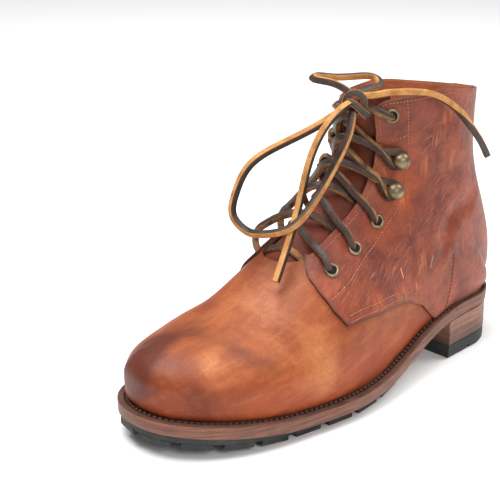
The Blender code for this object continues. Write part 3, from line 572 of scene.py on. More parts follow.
def thong_section(width, thick):
    """Corner-rounded oblong: points across and up, and True where the face that starts there is grain."""
    points, grain = [], []
    for k, (sign_across, sign_up) in enumerate(((1, 1), (-1, 1), (-1, -1), (1, -1))):
        for step in range(3):
            turn = math.pi / 2 * k + math.pi / 4 * step
            points.append((sign_across * (width / 2 - THONG_ROUND) + THONG_ROUND * math.cos(turn),
                           sign_up * (thick / 2 - THONG_ROUND) + THONG_ROUND * math.sin(turn)))
            grain.append((k == 0 and step >= 1) or (k == 1 and step == 0))
    return np.array(points), grain


def sweep_thong(path, up, twist=((0.0, 0.0), (1.0, 0.0)), steady=False):
    """Vertices, faces and grain marks of a thong along a path; up is its grain side at the middle.

    The twist is a list of shares of the length with the degrees that the grain is turned there. A steady
    thong keeps its grain to that side all along.
    """
    count = len(path)
    along = np.gradient(path, axis=0)
    along /= np.linalg.norm(along, axis=1, keepdims=True)
    middle = count // 2
    sides = np.zeros_like(path)
    sides[middle] = up - along[middle] * np.dot(up, along[middle])
    for order in (range(middle + 1, count), range(middle - 1, -1, -1)):
        before = sides[middle]
        for i in order:
            before = before - along[i] * np.dot(before, along[i])
            before = before / np.linalg.norm(before)
            sides[i] = before
    if steady:
        sides = up - along * (along @ up)[:, None]
    sides /= np.linalg.norm(sides, axis=1, keepdims=True)
    across = np.cross(along, sides)
    shares, degrees = zip(*twist)
    turn = np.radians(np.interp(np.linspace(0, 1, count), shares, degrees))[:, None]
    raised = sides * np.cos(turn) + across * np.sin(turn)
    spreads = across * np.cos(turn) - sides * np.sin(turn)
    section, grain = thong_section(THONG_WIDTH, THONG_THICK)
    across_part = spreads[:, None] * section[None, :, :1]
    up_part = raised[:, None] * section[None, :, 1:]
    vertices = path[:, None] + across_part + up_part
    faces = ring_faces(count, len(section)) + end_faces(count, len(section))
    return vertices.reshape(-1, 3), faces, grain * (count - 1) + [False, False]


# %% Make a piece of thong
def thong_piece(name, strands, node, raw):
    """One piece from swept strands, with grain and raw faces, standing in for a solid."""
    vertices, faces = joined([strand[:2] for strand in strands])
    mesh = bpy.data.meshes.new(name)
    mesh.from_pydata(vertices, [], faces)
    mesh.materials.append(raw)
    mesh.materials.append(thong_grain)
    mesh.polygons.foreach_set("material_index", [int(mark) for strand in strands for mark in strand[2]])
    work = bmesh.new()
    work.from_mesh(mesh)
    bmesh.ops.recalc_face_normals(work, faces=work.faces)
    work.to_mesh(mesh)
    work.free()
    mesh.shade_smooth()
    mesh.set_sharp_from_angle(angle=THONG_SHARP)
    return new_piece(name, mesh, [node])


# %% Loops and free ends
# name: points, side that the grain faces, shares of the length with degrees of twist, far end
BOW = {
    "lace_loop_down": (
        [(0.1376, 0.0051, 0.1773), (0.1450, 0.0005, 0.1716), (0.1555, -0.0080, 0.1634),
         (0.1689, -0.0200, 0.1541), (0.1843, -0.0300, 0.1425), (0.1910, -0.0360, 0.1234),
         (0.1936, -0.0350, 0.1114), (0.1920, -0.0260, 0.1037), (0.1924, -0.0110, 0.1050),
         (0.1858, 0.0060, 0.1118), (0.1680, 0.0090, 0.1258), (0.1523, 0.0120, 0.1484),
         (0.1430, 0.0130, 0.1655), (0.1372, 0.0096, 0.1743)],
        (-0.4, 0.6, 0.7), ((0.0, 30.0), (0.55, 45.0), (1.0, 85.0)), "object"),
    "lace_loop_up": (
        [(0.1354, 0.0045, 0.1858), (0.1420, -0.0030, 0.1911), (0.1487, -0.0120, 0.1930),
         (0.1389, -0.0180, 0.1921), (0.1226, -0.0180, 0.1886), (0.1114, -0.0100, 0.1888),
         (0.1014, -0.0040, 0.1870), (0.1032, 0.0010, 0.1850), (0.1180, 0.0055, 0.1846),
         (0.1279, 0.0060, 0.1843)],
        (0.0, 0.0, 1.0), ((0.0, -90.0), (0.18, -90.0), (0.32, 0.0), (1.0, 0.0)), "object"),
    "lace_end_back": (
        [(0.1311, 0.0101, 0.1839), (0.1275, 0.0140, 0.1840), (0.1225, 0.0200, 0.1856),
         (0.1166, 0.0270, 0.1868), (0.1080, 0.0330, 0.1865), (0.0967, 0.0370, 0.1840),
         (0.0864, 0.0390, 0.1787), (0.0723, 0.0400, 0.1687), (0.0615, 0.0400, 0.1583),
         (0.0503, 0.0400, 0.1463), (0.0407, 0.0390, 0.1342)],
        (0.0, 0.0, -1.0), ((0.0, 0.0), (0.55, 0.0), (0.75, -50.0), (1.0, -60.0)), "bare"),
    "lace_end_down": (
        [(0.1387, 0.0078, 0.1797), (0.1465, 0.0080, 0.1775), (0.1547, 0.0070, 0.1718),
         (0.1666, 0.0030, 0.1494), (0.1723, 0.0010, 0.1251), (0.1872, 0.0070, 0.1046),
         (0.2042, 0.0130, 0.0843)],
        (-0.3, 0.9, 0.2), ((0.0, 0.0), (1.0, 0.0)), "bare"),
}
KNOT_CENTRE = np.array([0.1335, 0.0065, 0.1800])
KNOT_WRAP = [
    (0.1359, 0.0039, 0.1762), (0.1375, 0.0040, 0.1815), (0.1343, 0.0073, 0.1855), (0.1313, 0.0117, 0.1834),
    (0.1312, 0.0133, 0.1782), (0.1321, 0.0100, 0.1746), (0.1351, 0.0053, 0.1752), (0.1377, 0.0054, 0.1800),
    (0.1373, 0.0096, 0.1801), (0.1353, 0.0140, 0.1767), (0.1323, 0.0170, 0.1725),
]
KNOT_GRAIN_SIDE = (0.65, 0.67, 0.35)
THONG_STEP = 0.0016

knot_path = smooth_run(KNOT_WRAP, THONG_STEP)
knot_strand = sweep_thong(knot_path, np.array(KNOT_GRAIN_SIDE), steady=True)
knot = thong_piece("bow_knot", [knot_strand], "lace_knot", thong_raw)
for node, (points, grain_side, twist, far_end) in BOW.items():
    path = smooth_run(points, THONG_STEP)
    swept = sweep_thong(path, np.array(grain_side), twist)
    strand = thong_piece(node.replace("lace", "bow"), [swept], node, thong_raw)

# %% [markdown]
# ## Leather sheets
# Every panel of the upper is a sheet of leather. A grid of points read off the last gives its face, and
# Solidify gives it thickness, with other materials for its flesh side and its cut edge. Creases are soft
# troughs between two ridges, placed by row and height share where this boot bends, and they move the
# panel and the shell below it by the same amount, so that nothing breaks through.

# %% Creases placed one by one
# side, row and share at the start, middle and end, depth, half width
CREASES = [
    (1, 7.95, 0.985, 7.82, 0.900, 8.00, 0.790, 0.00050, 0.0022),
    (-1, 7.95, 0.985, 7.85, 0.920, 7.98, 0.820, 0.00045, 0.0022),
    (1, 7.66, 0.990, 7.62, 0.920, 7.72, 0.800, 0.00045, 0.0024),
    (-1, 7.66, 0.990, 7.60, 0.930, 7.70, 0.830, 0.00040, 0.0024),
    (1, 7.42, 0.960, 7.38, 0.870, 7.55, 0.760, 0.00030, 0.0026),
    (1, 5.60, 0.900, 5.55, 0.780, 5.90, 0.640, 0.00025, 0.0030),
    (1, 6.90, 0.560, 7.20, 0.430, 7.90, 0.300, 0.00035, 0.0045),
    (1, 7.60, 0.440, 8.10, 0.330, 8.90, 0.230, 0.00035, 0.0045),
    (1, 19.80, 0.205, 15.60, 0.315, 12.60, 0.372, 0.00270, 0.0080),
    (1, 15.20, 0.300, 13.20, 0.330, 12.00, 0.335, 0.00090, 0.0050),
    (-1, 19.50, 0.215, 15.60, 0.315, 12.80, 0.372, 0.00170, 0.0075),
    (1, 12.30, 0.520, 12.10, 0.430, 11.60, 0.350, 0.00040, 0.0040),
    (1, 11.30, 0.520, 11.20, 0.430, 10.90, 0.360, 0.00035, 0.0035),
    (-1, 12.00, 0.560, 12.00, 0.440, 11.40, 0.340, 0.00050, 0.0045),
    (1, 20.30, 0.560, 20.90, 0.410, 21.60, 0.220, 0.00030, 0.0022),
    (1, 17.60, 0.480, 18.60, 0.360, 19.60, 0.260, 0.00050, 0.0060),
]
CREASE_SAMPLES = 48
ROW_SAMPLES = 160
HEEL_TUCK = 0.0022
HEEL_TUCK_REACH = 0.0080
# where the tuck ends, and the length over which it fades in
TUCK_END = 0.085
TUCK_FADE = 0.030


def relief(points, side):
    """How far each point of one side moves along its normal, for the creases and the tuck over the heel."""
    moved = np.zeros(points.shape[:-1])
    for crease_side, *ends, depth, width in CREASES:
        if crease_side != side:
            continue
        along = np.linspace(0, 1, CREASE_SAMPLES)
        rows = spline([0, 0.5, 1], ends[0::2], along)
        shares = spline([0, 0.5, 1], ends[1::2], along)
        line = upper_points(station(rows), shares, side)
        apart = np.linalg.norm(points[..., None, :] - line, axis=-1)
        nearest = np.argmin(apart, axis=-1)
        ratio = (np.take_along_axis(apart, nearest[..., None], -1)[..., 0] / width) ** 2
        moved -= depth * (1 - ratio) * np.exp(-ratio) * np.sin(math.pi * along[nearest]) ** 0.7
    above_rand = (points[..., 2] - welt_top(points[..., 0])) / HEEL_TUCK_REACH
    return moved - HEEL_TUCK * np.exp(-(above_rand**2)) * ease((TUCK_END - points[..., 0]) / TUCK_FADE)


def patch(stations, heights, side, lift, creased=True):
    """Grid of points over one side of the upper, lifted off its face and creased, faces looking out."""
    points = upper_points(stations, heights, side)
    normals = upper_normals(stations, heights, side)
    moved = relief(points, side) if creased else np.zeros(heights.shape)
    points = points + normals * (moved + lift)[..., None]
    return points if side > 0 else points[:, ::-1]


def upper_row(knots, side, lift):
    """Points and normals of a row over one side of the upper through rows and height shares."""
    knots = np.array(knots, float)
    step = run_lengths(knots * [0.1, 1.0])
    place = spline(step, knots, np.linspace(0, step[-1], ROW_SAMPLES))
    stations = station(place[:, 0])
    points = upper_points(stations, place[:, 1], side)
    normals = upper_normals(stations, place[:, 1], side)
    return points + normals * (lift + relief(points, side))[:, None], normals


print("creases:", len(CREASES))


# %% Make a sheet
SOFT_EDGE_ANGLE = math.radians(55)


def grid_faces(rows, columns, first):
    """Quads over a grid of rows by columns of points."""
    at = first + np.arange(rows - 1)[:, None] * columns + np.arange(columns - 1)[None, :]
    return np.stack([at, at + columns, at + columns + 1, at + 1], -1).reshape(-1, 4)


def sheet_mesh(name, grids, marks=None):
    """One smooth mesh from grids of points, with marks by name on its points."""
    points, faces = [], []
    for grid in grids:
        faces.append(grid_faces(*grid.shape[:2], sum(len(part) for part in points)))
        points.append(grid.reshape(-1, 3))
    mesh = bpy.data.meshes.new(name)
    mesh.from_pydata((np.vstack(points) - ORIGIN).tolist(), [], np.vstack(faces).tolist())
    for mark, values in (marks or {}).items():
        mesh.attributes.new(mark, "FLOAT", "POINT").data.foreach_set("value", np.concatenate(values))
    work = bmesh.new()
    work.from_mesh(mesh)
    bmesh.ops.remove_doubles(work, verts=work.verts, dist=0.00003)
    bmesh.ops.dissolve_degenerate(work, edges=work.edges, dist=0.00002)
    work.to_mesh(mesh)
    work.free()
    mesh.shade_smooth()
    return mesh


def leather_sheet(name, grids, thickness, outward, finishes, nodes, marks=None, round_edge=0.0004):
    """A sheet of leather with grain, flesh and edge finishes that stands in for solids."""
    mesh = sheet_mesh(name, grids, marks)
    for finish in finishes:
        mesh.materials.append(finish)
    item = new_piece(name, mesh, nodes)
    wall = item.modifiers.new("thickness", "SOLIDIFY")
    wall.thickness = thickness
    wall.offset = 1.0 if outward else -1.0
    wall.material_offset = 0 if outward else 1
    wall.material_offset_rim = 2
    soft = item.modifiers.new("soft_edge", "BEVEL")
    soft.width = round_edge
    soft.segments = 2
    soft.limit_method = "ANGLE"
    soft.angle_limit = SOFT_EDGE_ANGLE
    return item


# %% [markdown]
# ## Finish of the vamp
# The vamp is pull-up leather: an oiled orange tan, darker where waxing and burnishing have worked it. The
# dark side of the toe and the streak over it are marks on the points, laid down as soft round patches. The
# same marks hold painted highlights, and painted shade along the welt and where the vamp runs under the
# quarters;
# painted shade also darkens the vamp low down and along its crease lines. Cloudy noise breaks up their
# edges, drawn-out noise makes the streaks along the flank, and small cells make the grain.

# %% Burnished places, painted highlights and shade, and bent places
# row, share, side, radius, strength: above 0 darkens as burnishing, below 0 is a painted highlight
BURNISH_AND_HIGHLIGHTS = [
    (0.85, 0.420, -1, 0.015, 0.85), (1.25, 0.610, -1, 0.015, 0.95), (1.95, 0.760, -1, 0.013, 0.80),
    (2.70, 0.870, -1, 0.011, 0.55), (3.40, 0.950, -1, 0.010, 0.40), (3.00, 0.950, 1, 0.007, 0.30),
    (4.08, 0.807, 1, 0.008, 0.48), (4.66, 0.698, 1, 0.008, 0.55), (5.18, 0.608, 1, 0.008, 0.50),
    (5.72, 0.527, 1, 0.008, 0.40), (6.22, 0.425, 1, 0.008, 0.30), (0.45, 0.270, -1, 0.015, 0.75),
    (1.24, 0.250, 1, 0.014, 0.10), (2.40, 0.240, 1, 0.016, 0.25), (3.60, 0.260, 1, 0.016, 0.30),
    (4.80, 0.250, 1, 0.016, 0.20), (3.60, 0.615, 1, 0.012, -0.45), (6.64, 0.365, 1, 0.014, -0.25),
    (7.76, 0.445, 1, 0.016, -0.40), (7.66, 0.288, 1, 0.012, -0.30), (6.60, 0.800, 1, 0.018, -0.15),
    (4.40, 0.950, -1, 0.012, 0.25), (5.00, 0.600, -1, 0.016, 0.35), (4.60, 0.880, 1, 0.008, 0.30),
]
# row, share, side, radius of the places that the foot bends
FLEX = [(7.60, 0.960, 1, 0.012), (7.60, 0.860, 1, 0.014), (7.60, 0.930, -1, 0.014), (7.20, 0.700, 1, 0.016),
        (6.60, 0.820, 1, 0.014)]
# painted shade along the feather line, where the upper meets the welt: its strength and how far up it reaches
FEATHER_SHADE = 0.45
FEATHER_REACH = 0.0035
# painted shade on the vamp where it runs under the quarters: where it starts and the length over which it
# fades in
UNDER_QUARTER_X = 0.085
UNDER_QUARTER_FADE = 0.010


def soft_patch(points, row, share, side, radius, lift=0.0):
    """1 in the middle of a soft round patch over the last and 0 far from it."""
    centre = over_upper(row, share, side, lift)
    return np.exp(-(np.linalg.norm(points - centre, axis=-1) / radius) ** 2)


def burnish_and_painted_light_marks(points):
    """How darkened each point of the vamp is: burnishing, painted shade along the welt and under the
    quarters, and painted highlights below 0.
    """
    values = np.zeros(points.shape[:-1])
    for *place, strength in BURNISH_AND_HIGHLIGHTS:
        values += strength * soft_patch(points, *place)
    above_welt = points[..., 2] - welt_top(points[..., 0])
    values += ease((UNDER_QUARTER_X - points[..., 0]) / UNDER_QUARTER_FADE)
    return values + FEATHER_SHADE * np.exp(-((above_welt / FEATHER_REACH) ** 2))


def soft_patches(points, patches):
    """How far each point lies inside soft round patches, given by row, share, side and radius."""
    values = np.zeros(points.shape[:-1])
    for place in patches:
        values = np.maximum(values, soft_patch(points, *place))
    return values


print("burnished or rubbed places:", len(BURNISH_AND_HIGHLIGHTS))

# %% Vamp leather
# heights between which the painted shade low on the vamp, darker and more saturated towards the welt, fades
# out
LOW_SHADE_TOP = 0.052
LOW_SHADE_FULL = 0.032
STREAK_LEAN = math.radians(80)
STREAK_SCALE = (170.0, 170.0, 24.0)
FLEX_SCALE = (620.0, 60.0, 620.0)


def grain(tree, place, size):
    """Height of a fine leather grain with cells of one size."""
    cells = add_node(tree, "ShaderNodeTexVoronoi", {"Vector": place, "Scale": 1 / size, "Randomness": 0.9},
                     feature="SMOOTH_F1").outputs["Distance"]
    return sums(tree, "ADD", cells, noise(tree, place, 3 / size, 2.0))


def vamp_finish():
    """Orange tan pull-up leather, with painted shade and painted highlights."""
    material, tree, shader, place = new_finish("vamp_leather")
    burnish_or_painted_light = add_node(tree, "ShaderNodeAttribute", attribute_name="burnish_and_painted_light").outputs["Fac"]
    clouds = noise(tree, place, 26.0, 5.0, 0.58, 0.6)
    fine_clouds = noise(tree, place, 110.0, 4.0, 0.6)
    bent = add_node(tree, "ShaderNodeAttribute", attribute_name="flex").outputs["Fac"]
    lines = noise(tree, stretched(tree, place, FLEX_SCALE), 1.0, 3.0, 0.6, 0.6)
    colour = mix(tree, spread(tree, clouds, 0.36, 0.62), paint(162, 87, 45), paint(138, 66, 33))
    colour = mix(tree, spread(tree, fine_clouds, 0.40, 0.75, 0.0, 0.35), colour, paint(126, 56, 28))
    height = add_node(tree, "ShaderNodeSeparateXYZ", {0: place}).outputs["Z"]
    # painted shade: the vamp darker and more saturated low down, towards the welt
    colour = mix(tree, spread(tree, height, LOW_SHADE_TOP, LOW_SHADE_FULL, 0.0, 0.6), colour, paint(158, 62, 22))
    ragged = sums(tree, "ADD", burnish_or_painted_light, spread(tree, clouds, 0.3, 0.7, -0.30, 0.30))
    streaks = noise(tree, stretched(tree, place, STREAK_SCALE, STREAK_LEAN), 1.0, 3.0, 0.6, 0.5)
    colour = mix(tree, spread(tree, streaks, 0.50, 0.70, 0.0, 0.30), colour, paint(196, 116, 62))
    # burnishing, and painted shade along the welt and under the quarters, darken the vamp
    colour = mix(tree, spread(tree, ragged, 0.12, 1.0, 0.0, 0.90), colour, paint(78, 28, 17))
    # painted highlights where the marks fall below 0
    colour = mix(tree, spread(tree, ragged, -0.10, -0.55, 0.0, 0.6), colour, paint(198, 126, 76))
    bent_lines = sums(tree, "MULTIPLY", bent, spread(tree, lines, 0.52, 0.62))
    # painted shade along the crease lines where the foot bends
    colour = mix(tree, sums(tree, "MULTIPLY", bent_lines, 0.22), colour, paint(110, 52, 30))
    mottle = noise(tree, place, 420.0, 4.0, 0.7)
    colour = mix(tree, spread(tree, mottle, 0.46, 0.70, 0.0, 0.30), colour, paint(118, 54, 28))
    pores = noise(tree, place, 1300.0, 2.0)
    colour = mix(tree, spread(tree, pores, 0.54, 0.74, 0.0, 0.30), colour, paint(96, 48, 28))
    rough = spread(tree, fine_clouds, 0.3, 0.7, 0.44, 0.56)
    set_inputs(tree, shader, {"Base Color": colour, "Roughness": rough, "Specular IOR Level": 0.24,
                              "Coat Weight": 0.12, "Coat Roughness": 0.36})
    creased = sums(tree, "MULTIPLY", bent_lines, -1.0)
    bump(tree, shader, (grain(tree, place, 0.0009), 0.00018, 0.5), (mottle, 0.0003, 0.4),
         (noise(tree, place, 160.0, 4.0), 0.0005, 0.25), (creased, 0.0003, 0.45))
    return material


vamp_leather = vamp_finish()
print("nodes in the vamp's finish:", len(vamp_leather.node_tree.nodes))


# %% Lining and cut edges
def plain_leather(name, first, second, roughness, grain_size, depth):
    """Leather with two shades and an even grain, for linings, edges, tongue and welt."""
    material, tree, shader, place = new_finish(name)
    clouds = spread(tree, noise(tree, place, 60.0, 5.0, 0.6), 0.35, 0.65)
    colour = mix(tree, clouds, first, second)
    streaks = noise(tree, place, 900.0, 3.0, 0.7)
    colour = mix(tree, spread(tree, streaks, 0.45, 0.8, 0.0, 0.4), colour, paint(70, 38, 24), "MULTIPLY")
    rough = spread(tree, clouds, 0, 1, roughness - 0.05, roughness + 0.08)
    set_inputs(tree, shader, {"Base Color": colour, "Roughness": rough, "Specular IOR Level": 0.25})
    bump(tree, shader, (grain(tree, place, grain_size), depth, 0.5))
    return material


lining_leather = plain_leather("lining_leather", paint(190, 112, 76), paint(172, 94, 58), 0.55, 0.0012,
                               0.00012)
# cut edges: dark as leather edges are, and darker still as painted shade for the shadow line along each
# panel's edge
cut_edge = plain_leather("cut_edge", paint(112, 66, 44), paint(66, 40, 29), 0.75, 0.0007, 0.0002)
print("finishes:", lining_leather.name, cut_edge.name)

# %% [markdown]
# ## The upper
# One shell runs from the toe to the collar. It's the vamp in front and the backing of the quarters behind,
# and its inner face is the lining that shows over the collar. It is cut finer than the solid, because the
# creases and the shine on the toe need small faces.

# %% Build the upper
WALL = 0.0018
UPPER_STATIONS = 230
UPPER_COLUMNS = 56
THROAT_STATIONS = 24


def upper_grid(side):
    """Stations and heights of one side of the shell, from the toe to the collar."""
    stations = np.linspace(0, 1, UPPER_STATIONS)
    throat_rows = np.linspace(THROAT_ROW, THROAT_FULL_ROW, THROAT_STATIONS)
    stations = np.sort(np.concatenate([stations, station(throat_rows), station(np.array([SEAM_ROW]))]))
    top = throat_edge(stations, side)
    heights = top[:, None] * np.linspace(0, 1, UPPER_COLUMNS)[None, :]
    return np.repeat(stations[:, None], UPPER_COLUMNS, axis=1), heights


grids = []
for side in (1, -1):
    stations, heights = upper_grid(side)
    grids.append(patch(stations, heights, side, 0.0))
marks = {"burnish_and_painted_light": [burnish_and_painted_light_marks(grid).reshape(-1) for grid in grids],
         "flex": [soft_patches(grid, FLEX).reshape(-1) for grid in grids]}
leather_sheet("boot_upper", grids, WALL, False, [vamp_leather, lining_leather, cut_edge], ["upper"],
              marks)

# %% [markdown]
# ## The quarters
# Two panels of redder leather wrap the heel and carry the eyelets. Painted shade darkens their edge over the
# vamp. The wrinkles are too fine for points, so they are bump: a net of cells drawn out long and leaning,
# strong only in patches that are marked one by one, with painted shade in their creases. Painted shade also
# darkens the leather along each row of stitching. Scuffs are marks again, where the wax has been rubbed
# through to orange, and each pale scratch is a short line between two places on the last.

# %% Scuffs and seams
# row, share, side, radius, strength
SCUFFS = [
    (14.42, 0.680, 1, 0.0060, 1.4), (13.00, 0.600, 1, 0.0055, 1.1), (18.48, 0.475, 1, 0.0065, 1.0),
    (20.32, 0.385, 1, 0.0065, 0.9), (11.74, 0.400, 1, 0.0060, 0.8), (19.74, 0.290, 1, 0.0065, 0.9),
    (21.60, 0.307, 1, 0.0065, 0.8), (10.54, 0.380, 1, 0.0055, 1.1), (15.60, 0.330, 1, 0.0065, 0.8),
    (13.20, 0.372, 1, 0.0065, 0.8), (9.70, 0.440, 1, 0.0065, 0.7), (18.00, 0.500, -1, 0.0090, 0.7),
    (11.00, 0.450, -1, 0.0090, 0.6), (20.80, 0.300, -1, 0.0080, 0.6),
]
# row, share along each row of stitching on a quarter
EYESTAY_ROW = [(8.40, 0.615), (9.10, 0.610), (9.78, 0.620), (10.52, 0.618), (11.46, 0.615), (12.64, 0.610),
               (14.46, 0.605), (17.72, 0.585), (20.00, 0.567), (21.68, 0.565), (22.75, 0.572)]
CROSS_ROW = [(18.80, 0.690), (19.40, 0.630), (20.05, 0.567)]
COLLAR_ROW = [(22.66, 0.020), (22.68, 0.200), (22.70, 0.400), (22.72, 0.560), (22.70, 0.680)]
COUNTER_ROW = [(13.10, 0.280), (12.48, 0.238), (11.98, 0.182), (11.75, 0.120), (11.62, 0.070)]
# the rows along the lower edge: their height shares over it, and the row and share that they start and end at
LOWER_ROWS = [0.022, 0.050]
LOWER_START = (8.60, 0.455)
LOWER_END = (11.22, 0.120)
FACING_ROWS = np.linspace(8.70, 22.6, 40)
FACING_SETBACK = 0.030
GAP = 0.0003
QUARTER_THICK = 0.0015
FACING_LIFT = GAP + QUARTER_THICK
THREAD_PROUD = 0.0001
STITCH_LIFT = FACING_LIFT + THREAD_PROUD
SEAM_REACH = 0.0013


def pale_seams(side):
    """Rows of pale stitching on one quarter."""
    rows = [EYESTAY_ROW, CROSS_ROW, COLLAR_ROW]
    for above in LOWER_ROWS:
        knots = [(row, share + above) for row, share in QUARTER_EDGE[:6]]
        knots[0] = (LOWER_START[0] + above, LOWER_START[1] + above)
        rows.append(knots + [(LOWER_END[0] + 2 * above, LOWER_END[1])])
    rows.append(np.stack([FACING_ROWS, throat_edge(station(FACING_ROWS), side) - FACING_SETBACK], -1))
    return [upper_row(row, side, STITCH_LIFT) for row in rows]


def near_line(points, line, reach):
    """1 on a line of points and 0 far from it."""
    apart = np.linalg.norm(points[..., None, :] - line, axis=-1).min(axis=-1)
    return np.exp(-((apart / reach) ** 2))


def seam_marks(points, side):
    """How near each point of a quarter lies to a row of stitching, which pulls it down and darkens it with
    painted shade.
    """
    values = np.zeros(points.shape[:-1])
    for row_points, _ in pale_seams(side):
        values = np.maximum(values, near_line(points, row_points, SEAM_REACH))
    return values


def scuff_marks(points):
    """How far the wax is rubbed off at each point of a quarter."""
    values = np.zeros(points.shape[:-1])
    for *place, strength in SCUFFS:
        values += strength * soft_patch(points, *place, FACING_LIFT)
    return values


print("scuffs:", len(SCUFFS), "seams on a quarter:", len(pale_seams(1)))

# %% Wrinkles and scratches
WRINKLE_LEAN = math.radians(58)
WRINKLE_SCALE = (520.0, 64.0, 64.0)
RUB_SCALE = (400.0, 400.0, 46.0)
# row, share, side, radius of the places where the leather is drawn into wrinkles
WRINKLED = [
    (9.20, 0.560, 1, 0.014), (10.00, 0.520, 1, 0.016), (10.80, 0.490, 1, 0.014), (11.80, 0.500, 1, 0.011),
    (13.60, 0.440, 1, 0.011), (17.00, 0.380, 1, 0.012), (20.40, 0.400, 1, 0.010), (10.00, 0.520, -1, 0.018),
    (12.20, 0.460, -1, 0.014), (16.50, 0.380, -1, 0.012),
]
# share of its half width over which a scratch is at full strength
SCRATCH_FULL = 0.3
# row and share of both ends of each scratch on the lateral quarter, its half width and its strength
SCRATCHES = [
    (10.86, 0.463, 10.80, 0.430, 0.00055, 1.00), (11.38, 0.383, 11.60, 0.400, 0.00060, 0.35),
    (11.88, 0.355, 12.24, 0.375, 0.00065, 0.45), (12.34, 0.455, 11.94, 0.422, 0.00050, 0.30),
    (12.26, 0.535, 11.90, 0.508, 0.00045, 0.25), (11.16, 0.370, 11.10, 0.338, 0.00060, 0.35),
]


def vector_sum(tree, operation, inputs, result="Vector"):
    """One sum of vectors."""
    return add_node(tree, "ShaderNodeVectorMath", inputs, operation=operation).outputs[result]


def pushed_about(tree, place, scale, reach):
    """A place moved by soft noise, so that lines drawn from it wander."""
    drift = add_node(tree, "ShaderNodeTexNoise", {"Vector": place, "Scale": scale, "Detail": 2.0})
    centred = vector_sum(tree, "SUBTRACT", {0: drift.outputs["Color"], 1: (0.5, 0.5, 0.5)})
    scaled = vector_sum(tree, "SCALE", {0: centred, "Scale": reach})
    return vector_sum(tree, "ADD", {0: place, 1: scaled})


def scratch(tree, place, start, finish, half_width):
    """1 on a straight scratch between two points and 0 beside it."""
    length = float(np.linalg.norm(finish - start))
    heading = ((finish - start) / length).tolist()
    offset = vector_sum(tree, "SUBTRACT", {0: place, 1: start.tolist()})
    reach = vector_sum(tree, "DOT_PRODUCT", {0: offset, 1: heading}, "Value")
    held = spread(tree, reach, 0.0, length, 0.0, length)
    nearest = vector_sum(tree, "SCALE", {0: heading, "Scale": held})
    apart = vector_sum(tree, "DISTANCE", {0: offset, 1: nearest}, "Value")
    return spread(tree, apart, half_width, SCRATCH_FULL * half_width)


print("wrinkled places:", len(WRINKLED), "scratches:", len(SCRATCHES))


